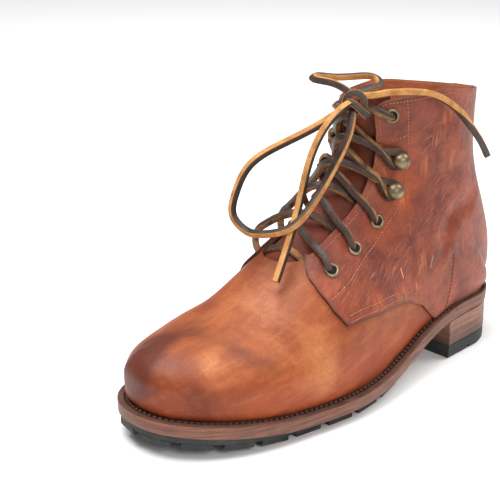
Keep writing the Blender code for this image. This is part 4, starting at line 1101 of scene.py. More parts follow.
# %% Quarter leather
def quarter_finish():
    """Red brown waxed leather: a cloudy patina, drawn wrinkles with painted shade in their creases, orange
    scuffs and rubs, pale scratches, and painted shade at the seams and along the edge over the vamp.
    """
    material, tree, shader, place = new_finish("quarter_leather")
    rubbed, sewn, drawn, edge_shade = (add_node(tree, "ShaderNodeAttribute", attribute_name=mark).outputs["Fac"]
                                  for mark in ("scuff", "seam", "wrinkle", "edge_shade"))
    wandering = pushed_about(tree, place, 70.0, 0.007)
    drawn_out = stretched(tree, wandering, WRINKLE_SCALE, WRINKLE_LEAN)
    net = add_node(tree, "ShaderNodeTexVoronoi", {"Vector": drawn_out, "Scale": 1.0},
                   feature="DISTANCE_TO_EDGE").outputs["Distance"]
    broken = spread(tree, noise(tree, place, 110.0, 4.0, 0.65), 0.38, 0.60)
    wrinkled = sums(tree, "MULTIPLY", spread(tree, drawn, 0.0, 1.0, 0.14, 1.0), broken)
    ridges = sums(tree, "MULTIPLY", wrinkled, spread(tree, net, 0.16, 0.42))
    creases = sums(tree, "MULTIPLY", wrinkled, spread(tree, net, 0.13, 0.02))
    upright = stretched(tree, place, RUB_SCALE)
    rubs = noise(tree, upright, 1.0, 3.0, 0.55, 0.3)
    clouds = noise(tree, place, 36.0, 5.0, 0.6, 0.5)
    mottle = noise(tree, place, 240.0, 5.0, 0.7, 0.4)
    pores = noise(tree, place, 1300.0, 2.0)
    colour = mix(tree, spread(tree, clouds, 0.36, 0.64), paint(156, 75, 46), paint(104, 46, 33))
    colour = mix(tree, spread(tree, mottle, 0.44, 0.70, 0.0, 0.42), colour, paint(86, 37, 27))
    colour = mix(tree, sums(tree, "MULTIPLY", ridges, 0.52), colour, paint(194, 106, 64))
    # painted shade in the wrinkles' creases
    colour = mix(tree, sums(tree, "MULTIPLY", creases, 0.55), colour, paint(74, 30, 22))
    colour = mix(tree, spread(tree, pores, 0.54, 0.74, 0.0, 0.25), colour, paint(84, 38, 28))
    patchy = spread(tree, noise(tree, upright, 0.7, 4.0, 0.65, 0.8), 0.46, 0.60)
    thin_rubs = spread(tree, rubs, 0.66, 0.80, 0.0, 0.6)
    worn = sums(tree, "ADD", sums(tree, "MULTIPLY", rubbed, patchy), thin_rubs)
    colour = mix(tree, spread(tree, worn, 0.06, 0.9, 0.0, 0.85), colour, paint(190, 98, 46))
    ragged = pushed_about(tree, place, 900.0, 0.0007)
    for row, share, end_row, end_share, half_width, strength in SCRATCHES:
        start = over_upper(row, share, 1, FACING_LIFT) - ORIGIN
        finish = over_upper(end_row, end_share, 1, FACING_LIFT) - ORIGIN
        cut = sums(tree, "MULTIPLY", scratch(tree, ragged, start, finish, half_width), strength)
        colour = mix(tree, cut, colour, paint(226, 166, 112))
    # painted shade in the groove along each row of stitching
    colour = mix(tree, sums(tree, "MULTIPLY", sewn, 0.5), colour, paint(76, 34, 26))
    # painted shade along the quarter's edge over the vamp
    colour = mix(tree, sums(tree, "MULTIPLY", edge_shade, 0.85), colour, paint(72, 44, 32))
    rough = spread(tree, mottle, 0.3, 0.7, 0.38, 0.54)
    set_inputs(tree, shader, {"Base Color": colour, "Roughness": rough, "Specular IOR Level": 0.28,
                              "Coat Weight": 0.10, "Coat Roughness": 0.38})
    raised = sums(tree, "SUBTRACT", ridges, creases)
    sunk = sums(tree, "MULTIPLY", sewn, -1.0)
    bump(tree, shader, (grain(tree, place, 0.0010), 0.00018, 0.5), (mottle, 0.0005, 0.4),
         (raised, 0.0006, 0.8), (noise(tree, place, 120.0, 4.0), 0.0008, 0.3), (sunk, 0.0004, 0.8))
    return material


quarter_leather = quarter_finish()
print("nodes in the quarter's finish:", len(quarter_leather.node_tree.nodes))

# %% Build the quarters
QUARTER_ROW = 8.38
QUARTER_STATIONS = 220
QUARTER_COLUMNS = 96
# painted shade along the quarter's front and lower edges: the stations of the lower edge it follows and how
# far in it reaches
EDGE_SHADE_STATIONS = 60
EDGE_SHADE_REACH = 0.0012
# how quickly the front edge's own curve fades into the rows behind it
FRONT_FADE = 12
# share, row of the quarter's front edge
QUARTER_FRONT = np.array([
    (0.440, 8.56), (0.458, 8.52), (0.570, 8.26), (0.680, 8.18), (0.760, 8.20), (0.800, 8.29), (0.830, 8.46),
    (0.860, 8.62),
])


def quarter_grid(side):
    """Stations and heights of one quarter, whose front edge follows its own curve."""
    first = float(station(QUARTER_ROW))
    share = np.linspace(0, 1, QUARTER_STATIONS)
    nominal = first + (1 - first) * share
    low = quarter_lower(nominal)[:, None]
    high = throat_edge(nominal, side)[:, None]
    columns = np.linspace(0, 1, QUARTER_COLUMNS)[None, :]
    heights = low + (high - low) * columns
    front = station(np.interp(heights, QUARTER_FRONT[:, 0], QUARTER_FRONT[:, 1])) - first
    stations = nominal[:, None] + front * (1 - share[:, None]) ** FRONT_FADE
    return stations, heights


def edge_shade_marks(grid, side):
    """How near each point of a quarter lies to its edge over the vamp, which painted shade darkens."""
    lower = grid[:, 0] if side > 0 else grid[:, -1]
    return near_line(grid, np.concatenate([grid[0], lower[:EDGE_SHADE_STATIONS]]), EDGE_SHADE_REACH)


for side, word in ((1, "lateral"), (-1, "medial")):
    stations, heights = quarter_grid(side)
    grid = patch(stations, heights, side, GAP)
    marks = {"scuff": [scuff_marks(grid).reshape(-1)], "seam": [seam_marks(grid, side).reshape(-1)],
             "wrinkle": [soft_patches(grid, WRINKLED).reshape(-1)],
             "edge_shade": [edge_shade_marks(grid, side).reshape(-1)]}
    leather_sheet(f"boot_quarter_{word}", [grid], QUARTER_THICK, True,
                  [quarter_leather, quarter_leather, cut_edge], [f"quarter_{word}"], marks)

# %% [markdown]
# ## Back strip and tongue
# A narrow strip covers the seam up the back. The tongue is a soft sheet under the throat that dips in the
# middle to leave room for the lace and puffs up between the crossings, so its points are raised by a few
# round swellings.

# %% Build the back strip
STRIP_HALF_WIDTH = 0.0075
STRIP_THICK = 0.0010
STRIP_ROW = 16.1
STRIP_STATIONS = 120
STRIP_COLUMNS = 10

stations = np.linspace(float(station(STRIP_ROW)), 1, STRIP_STATIONS)
rib = spline(KNOTS, TABLE, stations)
halves = []
for side in (1, -1):
    half = rib[:, 8] if side > 0 else -rib[:, 9]
    reach = GIRTH_SHARE * np.arcsin((STRIP_HALF_WIDTH / half) ** (1 / rib[:, 14])) / (math.pi / 2)
    heights = reach[:, None] * np.linspace(0, 1, STRIP_COLUMNS)[None, :]
    halves.append(patch(np.repeat(stations[:, None], STRIP_COLUMNS, axis=1), heights, side,
                        2 * GAP + QUARTER_THICK))
lateral, medial = halves
seam = (lateral[:, :1] + medial[:, -1:]) / 2
strip_grid = np.concatenate([medial[:, :-1], seam, lateral[:, 1:]], axis=1)
leather_sheet("boot_back_strip", [strip_grid], STRIP_THICK, True,
              [quarter_leather, quarter_leather, cut_edge], ["back_strip"],
              {"scuff": [scuff_marks(strip_grid).reshape(-1)]}, 0.0003)

# %% Build the tongue
TONGUE_THICK = 0.0018
TONGUE_GAP = 0.0013
TONGUE_TUCK = 0.0065
TONGUE_ROW = 7.4
TONGUE_RISE = 0.012
TONGUE_STATIONS = 150
TONGUE_COLUMNS = 26
RIDGE_SHARE = 0.999
# the dip: its depth, the row where it starts and the share of the boot's run over which it deepens, and the
# same two as shares across half the tongue
DIP = 0.0012
DIP_ROW = 8.1
DIP_RUN = 0.03
DIP_EDGE = 0.3
DIP_WIDTH = 0.5
# row, y, radius, height of each swelling, whose middle lies a little below the last's ridge
SWELLINGS = [(8.20, -0.004, 0.010, 0.0007), (8.45, -0.004, 0.009, 0.0012), (9.15, -0.006, 0.008, 0.0026),
             (10.3, -0.004, 0.008, 0.0028)]
SWELLING_SHARE = 0.995
SWELLING_BELOW = 0.003

tongue_leather = plain_leather("tongue_leather", paint(124, 58, 37), paint(92, 43, 29), 0.6, 0.0011, 0.00015)
stations = np.linspace(float(station(TONGUE_ROW)), 1 + TONGUE_RISE, TONGUE_STATIONS)
columns = np.linspace(0, 1, TONGUE_COLUMNS)
dipped_along = ease((stations - station(DIP_ROW)) / DIP_RUN)[:, None]
dipped = dipped_along * ease((columns - DIP_EDGE) / DIP_WIDTH)[None, :]
halves = []
for side in (1, -1):
    along = np.clip(stations, station(THROAT_FULL_ROW), CORNER_START)
    inner = height_at_y(along, facing_y(along, side) + side * TONGUE_TUCK, side)
    heights = inner[:, None] + (RIDGE_SHARE - inner)[:, None] * columns[None, :]
    halves.append(patch(np.repeat(stations[:, None], TONGUE_COLUMNS, axis=1), heights, side,
                        -DIP * dipped - WALL - TONGUE_GAP, creased=False))
lateral, medial = halves
seam = (lateral[:, -1:] + medial[:, :1]) / 2
tongue_grid = np.concatenate([lateral[:, :-1], seam, medial[:, 1:]], axis=1)
tongue_up = np.cross(np.gradient(tongue_grid, axis=0), np.gradient(tongue_grid, axis=1))
tongue_up /= np.linalg.norm(tongue_up, axis=-1, keepdims=True)
for row, y, radius, height in SWELLINGS:
    at = np.array([float(station(row))])
    top = upper_points(at, np.array([SWELLING_SHARE]), 1)[0]
    apart = np.linalg.norm(tongue_grid - np.array([top[0], y, top[2] - SWELLING_BELOW]), axis=-1)
    tongue_grid = tongue_grid + tongue_up * (height * np.exp(-((apart / radius) ** 2)))[..., None]
leather_sheet("boot_tongue", [tongue_grid], TONGUE_THICK, False, [tongue_leather, lining_leather, cut_edge],
              ["tongue"])

# %% [markdown]
# ## The sole
# The sole is a pile of layers that share one outline: insole, welt, midsole, half sole and heel. Most layers
# are a stack of level outlines, every one with its own inset and height, so that edges can be rounded,
# grooved and stepped by adding a row to a short list.


# %% Stack level outlines into a layer
def outline_loop(inset, start, finish_inset=None):
    """x from a start (None: the heel's back) to the toe tip, closer together round both ends."""
    tip_inset = inset if finish_inset is None else finish_inset
    toe = TOE_BREAK + (LENGTH - tip_inset - TOE_BREAK) * np.sin(np.linspace(0, math.pi / 2, 40))
    if start is None:
        heel = HEEL_BREAK - (HEEL_BREAK - HEEL_BACK - inset) * np.cos(np.linspace(0, math.pi / 2, 30))
        run = np.linspace(HEEL_BREAK, TOE_BREAK, 70)[1:-1]
        x = np.concatenate([heel, run, toe])
    else:
        x = np.concatenate([np.linspace(start, TOE_BREAK, 60)[:-1], toe])
    return x


# start and end of each groove across the heel's tread, and how far its walls lean
HEEL_GROOVES = [(0.0200, 0.0226), (0.0430, 0.0456)]
GROOVE_WALL = 0.0001


def heel_loop(inset):
    """x from the heel's back to its breast."""
    heel = HEEL_BREAK - (HEEL_BREAK - HEEL_BACK - inset) * np.cos(np.linspace(0, math.pi / 2, 36))
    grooves = np.array(HEEL_GROOVES)
    steps = np.concatenate([grooves, grooves + [-GROOVE_WALL, GROOVE_WALL]]).reshape(-1)
    return np.sort(np.concatenate([heel, np.linspace(HEEL_BREAK, HEEL_BREAST - inset * 0.5, 14)[1:], steps]))


def stack_levels(levels):
    """Vertices and faces of a closed layer from levels of x, lateral y, medial y and z, from the top down."""
    count = len(levels[0][0])
    size = 2 * count
    vertices = []
    for x, lateral, medial, z in levels:
        vertices.append(np.concatenate([np.stack([x, lateral, z], -1), np.stack([x, medial, z], -1)[::-1]]))
    faces = ring_faces(len(levels), size)
    last = (len(levels) - 1) * size
    for j in range(count - 1):
        other = size - 1 - j
        faces.append((j, other, other - 1, j + 1))
        faces.append((last + j + 1, last + other - 1, last + other, last + j))
    return np.vstack(vertices), faces


# %% Make a solid piece
SOLID_SHARP = math.radians(40)


def solid_piece(name, part, finishes, nodes, face_finish=None):
    """A piece from the vertices and faces of a closed part, faces out, that stands in for solids."""
    vertices, faces = part
    mesh = bpy.data.meshes.new(name)
    mesh.from_pydata((vertices - ORIGIN).tolist(), [], faces)
    for finish in finishes:
        mesh.materials.append(finish)
    work = bmesh.new()
    work.from_mesh(mesh)
    bmesh.ops.remove_doubles(work, verts=work.verts, dist=0.00001)
    bmesh.ops.dissolve_degenerate(work, edges=work.edges, dist=0.000005)
    bmesh.ops.recalc_face_normals(work, faces=work.faces)
    if face_finish is not None:
        for face in work.faces:
            face.material_index = face_finish(face)
    work.to_mesh(mesh)
    work.free()
    mesh.shade_smooth()
    mesh.set_sharp_from_angle(angle=SOLID_SHARP)
    return new_piece(name, mesh, nodes)


# %% [markdown]
# ## Welt, insole, midsole and heel
# The welt is the ledge that the upper is sewn to: dark on top, with a channel for its thread, and trimmed
# flush with the midsole below it. The trimmed edge shows its layers as fine level streaks and was rubbed
# with wax, so it is smoother than the top. The insole lies inside, clear of the leather tucked in at the
# heel, and the heel is four layers of leather with a shallow groove at each joint.

# %% Edge and welt finishes
WELT_THICK = 0.0030
MIDSOLE_THICK = 0.0055
LAYER_SCALE = (26.0, 26.0, 900.0)
# heights between which the heel's edge grows darker towards the bottom
LOW_DARK_TOP = 0.0230
LOW_DARK_FULL = 0.0095


def layered_edge(name, light, dark, roughness, low_dark=0.0):
    """Trimmed edge of stacked leather: level streaks, darker pores, a waxed sheen and darker towards the
    bottom.
    """
    material, tree, shader, place = new_finish(name)
    streaks = noise(tree, stretched(tree, place, LAYER_SCALE), 1.0, 4.0, 0.6, 0.4)
    clouds = noise(tree, place, 70.0, 4.0, 0.6)
    colour = mix(tree, spread(tree, streaks, 0.34, 0.66), light, dark)
    colour = mix(tree, spread(tree, clouds, 0.45, 0.75, 0.0, 0.5), colour, paint(74, 46, 34))
    height = add_node(tree, "ShaderNodeSeparateXYZ", {0: place}).outputs["Z"]
    low = sums(tree, "ADD", height, spread(tree, clouds, 0.3, 0.7, -0.003, 0.003))
    colour = mix(tree, spread(tree, low, LOW_DARK_TOP, LOW_DARK_FULL, 0.0, low_dark), colour, paint(58, 40, 33))
    rough = spread(tree, streaks, 0.3, 0.7, roughness, roughness + 0.14)
    set_inputs(tree, shader, {"Base Color": colour, "Roughness": rough, "Specular IOR Level": 0.4})
    bump(tree, shader, (streaks, 0.0003, 0.5), (noise(tree, place, 1400.0), 0.0001, 0.3))
    return material


welt_leather = plain_leather("welt_leather", paint(104, 66, 52), paint(68, 42, 34), 0.55, 0.0012, 0.0003)
# the channel's near black is painted shade in the thread's groove
welt_channel = plain_leather("welt_channel", paint(44, 28, 24), paint(30, 20, 18), 0.7, 0.0010, 0.0002)
sole_edge = layered_edge("sole_edge", paint(136, 89, 69), paint(96, 58, 44), 0.42)
print("finishes:", welt_leather.name, welt_channel.name, sole_edge.name)

# %% Build the welt and the heel rand
# share of the shown width in from the edge, height over the welt's top
WELT_PROFILE = [(0.0, -0.0032), (0.0, -0.0022), (0.0, -0.0007), (0.05, -0.0002), (0.14, 0.0), (0.52, 0.0),
                (0.58, -0.0010), (1.02, -0.0010), (1.08, 0.0), (2.2, 0.0), (2.2, -0.0030)]
CHANNEL_SUNK = 0.0007
UPRIGHT_FACE = 0.35
RAND_GAP = 0.0006


def swept_rim(profile, round_toe):
    """A strip of the welt's layer round the toe or the heel, from a profile of shares and heights."""
    turn = np.sin(np.linspace(0, math.pi / 2, 48))
    rings = {0: [], 1: []}
    for share, rise in profile:
        if round_toe:
            inset = share * WELT_SHOWN
            x = np.concatenate([np.linspace(WELT_END, TOE_BREAK, 90)[:-1],
                                TOE_BREAK + (LENGTH - inset - TOE_BREAK) * turn])
        else:
            inset = share * HEEL_SHOWN
            x = np.concatenate([np.linspace(WELT_END - RAND_GAP, HEEL_BREAK, 16)[:-1],
                                HEEL_BREAK - (HEEL_BREAK - HEEL_BACK - inset) * turn])
        for side in (0, 1):
            y = np.array([edge(at, share * float(welt_shown(at)))[side] for at in x])
            rings[side].append(np.stack([x, y, welt_top(x) + rise], -1))
    loop = np.concatenate([np.stack(rings[0], 1), np.stack(rings[1], 1)[::-1][1:]])
    count, size = loop.shape[:2]
    return loop.reshape(-1, 3), ring_faces(count, size) + end_faces(count, size)


def welt_part(face):
    """Finish of a welt's face: 1 on its trimmed edge, 2 in its channel, 0 on top."""
    if abs(face.normal.z) < UPRIGHT_FACE:
        return 1
    centre = face.calc_center_median()
    sunk = float(welt_top(centre.x + ORIGIN[0])) - centre.z
    return 2 if sunk > CHANNEL_SUNK else 0


welt_finishes = [welt_leather, sole_edge, welt_channel]
solid_piece("boot_welt", swept_rim(WELT_PROFILE, True), welt_finishes, ["welt"], welt_part)
solid_piece("boot_heel_rand", swept_rim(WELT_PROFILE, False), welt_finishes, ["heel_rand"],
            welt_part)


# %% Build the insole
INSOLE_RISE = 0.0025
INSOLE_INSET = 0.0028
# extra inset, height over the welt's top
INSOLE_PROFILE = [(0.0006, INSOLE_RISE), (0.0, INSOLE_RISE - 0.0006), (0.0, GAP - WELT_THICK)]


def insole_level(extra, rise):
    """One level outline of the insole, which keeps clear of the leather tucked in over the heel."""
    heel_inset = HEEL_SHOWN + INSOLE_INSET + HEEL_TUCK + extra
    x = outline_loop(heel_inset, None, WELT_SHOWN + INSOLE_INSET + extra)
    insets = welt_shown(x) + INSOLE_INSET + HEEL_TUCK * ease((TUCK_END - x) / TUCK_FADE) + extra
    sides = np.array([edge(at, float(inset)) for at, inset in zip(x, insets)])
    return (x, sides[:, 0], sides[:, 1], welt_top(x) + rise)


solid_piece("boot_insole", stack_levels([insole_level(*level) for level in INSOLE_PROFILE]),
            [lining_leather], ["insole"])


# %% Build the midsole and the heel
def midsole_top(x):
    """Height of the midsole's upper face."""
    return welt_top(x) - WELT_THICK - GAP


def midsole_bottom(x):
    """Height of the midsole's lower face."""
    return midsole_top(x) - MIDSOLE_THICK


def full_level(inset, height):
    """One level outline of the whole sole."""
    x = outline_loop(inset, None)
    return (x, *edge(x, inset), height(x))


HEEL_LIFT_THICK = 0.0090
HEEL_LAYERS = 4
# inset, height over the midsole's lower face
MIDSOLE_PROFILE = [(0.0002, 0.0056), (0.0001, 0.0050), (0.0001, 0.0032), (0.0002, 0.0026), (0.0003, 0.0008),
                   (0.0014, 0.0)]
# inset, share of one layer's height
LAYER_PROFILE = [(0.0010, 1.0), (0.0008, 0.95), (0.0008, 0.05), (0.0010, 0.0)]


def heel_level(inset, height):
    """One level outline of the heel."""
    x = heel_loop(inset)
    return (x, *edge(x, inset), height(x))


midsole_levels = [full_level(inset, lambda x, r=rise: midsole_bottom(x) + r)
                  for inset, rise in MIDSOLE_PROFILE]
solid_piece("boot_midsole", stack_levels(midsole_levels), [sole_edge], ["midsole"])
heel_levels = []
for layer in range(HEEL_LAYERS, 0, -1):
    for inset, share in LAYER_PROFILE:
        rise = (layer - 1 + share) / HEEL_LAYERS
        heel_levels.append(heel_level(inset, lambda x, r=rise: HEEL_LIFT_THICK + GAP
                                      + (midsole_bottom(x) - 2 * GAP - HEEL_LIFT_THICK) * r))
heel_edge = layered_edge("heel_edge", paint(170, 122, 101), paint(122, 83, 67), 0.42, 0.75)
solid_piece("boot_heel_stack", stack_levels(heel_levels), [heel_edge], ["heel_stack"])


# %% [markdown]
# ## Rubber
# The half sole and the heel's top lift are moulded rubber, charcoal and matt, with dust in patches. The
# lugs round the edge are one block repeated, so Geometry Nodes set them out: points carry where each lug
# goes and how it turns, and the tree puts a block on every point. The heel's two grooves are steps in the
# lift's lower levels.

# %% Rubber finish
def rubber_finish():
    """Matt moulded rubber with a little dust."""
    material, tree, shader, place = new_finish("sole_rubber")
    dust = spread(tree, noise(tree, place, 140.0, 5.0, 0.65), 0.48, 0.75)
    colour = mix(tree, dust, paint(42, 43, 43), paint(70, 68, 65))
    rough = spread(tree, dust, 0, 1, 0.58, 0.8)
    set_inputs(tree, shader, {"Base Color": colour, "Roughness": rough, "Specular IOR Level": 0.35})
    bump(tree, shader, (noise(tree, place, 1600.0, 2.0), 0.0001, 0.4),
         (noise(tree, place, 220.0), 0.0003, 0.2))
    return material


sole_rubber = rubber_finish()
print("finish:", sole_rubber.name)


# %% A tree that sets a shape out on points
def new_tree(name, inputs):
    """A Geometry Nodes tree with named inputs after its geometry, and its input and output nodes."""
    tree = bpy.data.node_groups.new(name, "GeometryNodeTree")
    tree.interface.new_socket(name="Geometry", in_out="INPUT", socket_type="NodeSocketGeometry")
    for label, kind in inputs:
        tree.interface.new_socket(name=label, in_out="INPUT", socket_type=kind)
    tree.interface.new_socket(name="Geometry", in_out="OUTPUT", socket_type="NodeSocketGeometry")
    return tree, tree.nodes.new("NodeGroupInput"), tree.nodes.new("NodeGroupOutput")


def set_out_tree():
    """Puts one shape on every point, turned by the points' own angles."""
    tree, given, result = new_tree("set_out", [("Shape", "NodeSocketObject"), ("Size", "NodeSocketFloat"),
                                               ("Finish", "NodeSocketMaterial")])
    shape = add_node(tree, "GeometryNodeObjectInfo", {"Object": given.outputs["Shape"]})
    angles = add_node(tree, "GeometryNodeInputNamedAttribute", {"Name": "turn"}, data_type="FLOAT_VECTOR")
    rotation = add_node(tree, "FunctionNodeEulerToRotation", {"Euler": angles.outputs["Attribute"]})
    set_out = add_node(tree, "GeometryNodeInstanceOnPoints", {
        "Points": given.outputs["Geometry"], "Instance": shape.outputs["Geometry"],
        "Rotation": rotation.outputs["Rotation"], "Scale": given.outputs["Size"]})
    real = add_node(tree, "GeometryNodeRealizeInstances", {"Geometry": set_out.outputs["Instances"]})
    finish = add_node(tree, "GeometryNodeSetMaterial", {"Geometry": real.outputs["Geometry"],
                                                        "Material": given.outputs["Finish"]})
    tree.links.new(finish.outputs["Geometry"], result.inputs["Geometry"])
    return tree


def run_tree(name, carrier, tree, values, nodes=()):
    """Runs a tree on a carrier mesh and keeps its result as a plain mesh piece."""
    holder = add_to_scene(bpy.data.objects.new(name, carrier))
    modifier = holder.modifiers.new("tree", "NODES")
    modifier.node_group = tree
    for socket in tree.interface.items_tree:
        if socket.in_out == "INPUT" and socket.name in values:
            modifier[socket.identifier] = values[socket.name]
    depsgraph = bpy.context.evaluated_depsgraph_get()
    mesh = bpy.data.meshes.new_from_object(holder.evaluated_get(depsgraph), preserve_all_data_layers=True,
                                           depsgraph=depsgraph)
    bpy.data.objects.remove(holder)
    return new_piece(name, mesh, nodes)


def points_mesh(name, matrices):
    """Loose points with the angles that a shape takes on each, from matrices in the last's frame."""
    mesh = bpy.data.meshes.new(name)
    mesh.from_pydata([tuple(np.array(matrix.translation) - ORIGIN) for matrix in matrices], [], [])
    angles = np.array([tuple(matrix.to_euler()) for matrix in matrices])
    mesh.attributes.new("turn", "FLOAT_VECTOR", "POINT").data.foreach_set("vector", angles.reshape(-1))
    return mesh


def shape_object(name, mesh):
    """A hidden shape for a tree to repeat."""
    item = bpy.data.objects.new(name, mesh)
    item.hide_render = True
    return item


set_out = set_out_tree()
print("tree:", set_out.name)

# %% Build the half sole
HALF_SOLE_START = 0.122
HALF_SOLE_INSET = 0.0052
HALF_SOLE_TOE_INSET = 0.0020
HALF_SOLE_DEPTH = 0.0158
# extra inset, height over the tread or below the midsole, and which of the two
HALF_SOLE_PROFILE = [(0.0, 0.0, True), (0.0, 0.0036, False), (0.0006, 0.0031, False),
                     (0.0080, 0.0031, False), (0.0082, 0.0, False)]
# where the inset narrows to the toe: start and length
INSET_NARROWS = (0.225, 0.050)
# thickness at the waist's edge, how much it gains and over what length
WAIST_THICK = 0.0018
WAIST_GAIN = 0.004
WAIST_TAPER = 0.03
EDGE_STEP = 0.0012


def half_sole_inset(x):
    """Inset of the half sole's edge at x."""
    to_toe = ease((x - INSET_NARROWS[0]) / INSET_NARROWS[1])
    return HALF_SOLE_INSET + (HALF_SOLE_TOE_INSET - HALF_SOLE_INSET) * to_toe


def tread(x):
    """Height of the tread's lowest face at x."""
    low = np.maximum(welt_top(x) - HALF_SOLE_DEPTH, 0.0)
    top = midsole_bottom(x) - GAP
    taper = np.clip((x - HALF_SOLE_START) / WAIST_TAPER, 0, 1)
    return np.maximum(np.minimum(low, top - WAIST_THICK - WAIST_GAIN * taper), 0.0)


def half_sole_level(extra, rise, of_top):
    """One level of the half sole: an extra inset and a height over the tread or below the midsole."""
    x = outline_loop(0.0, HALF_SOLE_START, HALF_SOLE_TOE_INSET + extra)
    sides = np.array([edge(at, float(half_sole_inset(at)) + extra) for at in x])
    if of_top:
        height = midsole_bottom(x) - GAP - rise
    else:
        height = np.minimum(tread(x) + rise, midsole_bottom(x) - EDGE_STEP)
    return (x, sides[:, 0], sides[:, 1], height)


solid_piece("boot_half_sole", stack_levels([half_sole_level(*level) for level in HALF_SOLE_PROFILE]),
            [sole_rubber], ["half_sole"])

# %% Set out the lugs
LUG_PITCH = 0.0250
LUG_LENGTH = 0.0192
LUG_DEPTH = 0.0090
LUG_HEIGHT = 0.0036
LUG_BEVEL = 0.0007
LUG_SETBACK = 0.0005
LUG_MARGIN = 0.012


def block_mesh(name, length, depth, height, bevel):
    """A bevelled block that stands on z = 0, with its outer face at y = 0."""
    work = bmesh.new()
    place = Matrix.Translation((0, -depth / 2, height / 2)) @ Matrix.Diagonal((length, depth, height, 1.0))
    bmesh.ops.create_cube(work, size=1.0, matrix=place)
    bmesh.ops.bevel(work, geom=list(work.edges), offset=bevel, segments=2, affect="EDGES", profile=0.5)
    mesh = bpy.data.meshes.new(name)
    work.to_mesh(mesh)
    work.free()
    return mesh


x, lateral, medial, _ = half_sole_level(LUG_SETBACK, 0.0, False)
lug_line = np.concatenate([np.stack([x, lateral, tread(x)], -1),
                           np.stack([x, medial, tread(x)], -1)[::-1][1:]])
lug_run = run_lengths(lug_line)
lug_count = int((lug_run[-1] - 2 * LUG_MARGIN) / LUG_PITCH) + 1
first_lug = (lug_run[-1] - LUG_PITCH * (lug_count - 1)) / 2
lug_places = []
for k in range(lug_count):
    middle = first_lug + LUG_PITCH * k
    around = [[np.interp(at, lug_run, lug_line[:, axis]) for axis in range(3)]
              for at in (middle - LUG_LENGTH / 4, middle, middle + LUG_LENGTH / 4)]
    ahead = np.subtract(around[2], around[0])
    slope = math.atan2(ahead[2], math.hypot(ahead[0], ahead[1]))
    turn = Matrix.Rotation(math.atan2(ahead[1], ahead[0]), 4, "Z") @ Matrix.Rotation(-slope, 4, "Y")
    place = Vector(around[1])
    place.z = max(place.z, LUG_LENGTH / 2 * abs(math.sin(slope)))
    lug_places.append(Matrix.Translation(place) @ turn)
lug = shape_object("lug", block_mesh("lug", LUG_LENGTH, LUG_DEPTH, LUG_HEIGHT, LUG_BEVEL))
run_tree("boot_lugs", points_mesh("lug_points", lug_places), set_out,
         {"Shape": lug, "Size": 1.0, "Finish": sole_rubber})

# %% Build the heel's top lift
# inset, share of the lift's height
LIFT_PROFILE = [(0.0014, 1.0), (0.0010, 0.95), (0.0010, 0.12), (0.0018, 0.0)]
GROOVE_DEPTH = 0.0024


def lift_height(x, share):
    """Height of one level of the lift, which rises where a groove crosses the tread."""
    height = np.full_like(x, HEEL_LIFT_THICK * share)
    for start, finish in HEEL_GROOVES:
        inside = (x > start - GROOVE_WALL / 2) & (x < finish + GROOVE_WALL / 2)
        height = np.where(inside, np.maximum(height, GROOVE_DEPTH), height)
    return height


lift_levels = [heel_level(inset, lambda x, s=share: lift_height(x, s)) for inset, share in LIFT_PROFILE]
solid_piece("boot_heel_lift", stack_levels(lift_levels), [sole_rubber], ["heel_lift"])

# %% [markdown]
# ## Eyelets and hooks
# The lower holes have rolled brass eyelets and the shaft has two speed hooks a side, round domes on a
# short neck. All are turned shapes: a profile spun about an axis. One shape of each kind is set out by the
# same tree as the lugs, on points that lie on the facing and look along its normal.


# %% Brass finish and turned shapes
def brass_finish():
    """Aged brass: brighter brass in cloudy patches of brown tarnish."""
    material, tree, shader, place = new_finish("aged_brass")
    tarnish = spread(tree, noise(tree, place, 240.0, 4.0, 0.6), 0.36, 0.68)
    colour = mix(tree, tarnish, paint(150, 134, 108), paint(112, 96, 74))
    rough = spread(tree, tarnish, 0, 1, 0.36, 0.46)
    set_inputs(tree, shader, {"Base Color": colour, "Roughness": rough, "Metallic": 0.9})
    bump(tree, shader, (noise(tree, place, 900.0), 0.0001, 0.1))
    return material


def hole_shadow_finish():
    """Painted shadow: the dark inside an eyelet's hole."""
    material, tree, shader, place = new_finish("hole_shadow")
    colour = mix(tree, noise(tree, place, 700.0), paint(20, 14, 12), paint(34, 24, 20))
    set_inputs(tree, shader, {"Base Color": colour, "Roughness": 0.9})
    return material


def turned_mesh(name, profile, sides, closed_ring):
    """A profile of radius and height spun about Z."""
    vertices, faces = [], []
    count = len(profile)
    for k in range(sides):
        turn = 2 * math.pi * k / sides
        vertices += [(radius * math.cos(turn), radius * math.sin(turn), height) for radius, height in profile]
    for k in range(sides):
        following = (k + 1) % sides
        for j in range(count if closed_ring else count - 1):
            after = (j + 1) % count
            faces.append((k * count + j, following * count + j, following * count + after, k * count + after))
    mesh = bpy.data.meshes.new(name)
    mesh.from_pydata(vertices, [], faces)
    work = bmesh.new()
    work.from_mesh(mesh)
    bmesh.ops.remove_doubles(work, verts=work.verts, dist=0.000001)
    bmesh.ops.recalc_face_normals(work, faces=work.faces)
    work.to_mesh(mesh)
    work.free()
    mesh.shade_smooth()
    return mesh


# %% Build the fittings
EYELETS = [8.80, 9.78, 11.09, 21.34]
HOOKS = [12.76, 16.92]
FITTING_SETBACK = 0.115
SEAT_STEP = 0.01
FITTING_SIDES = 28
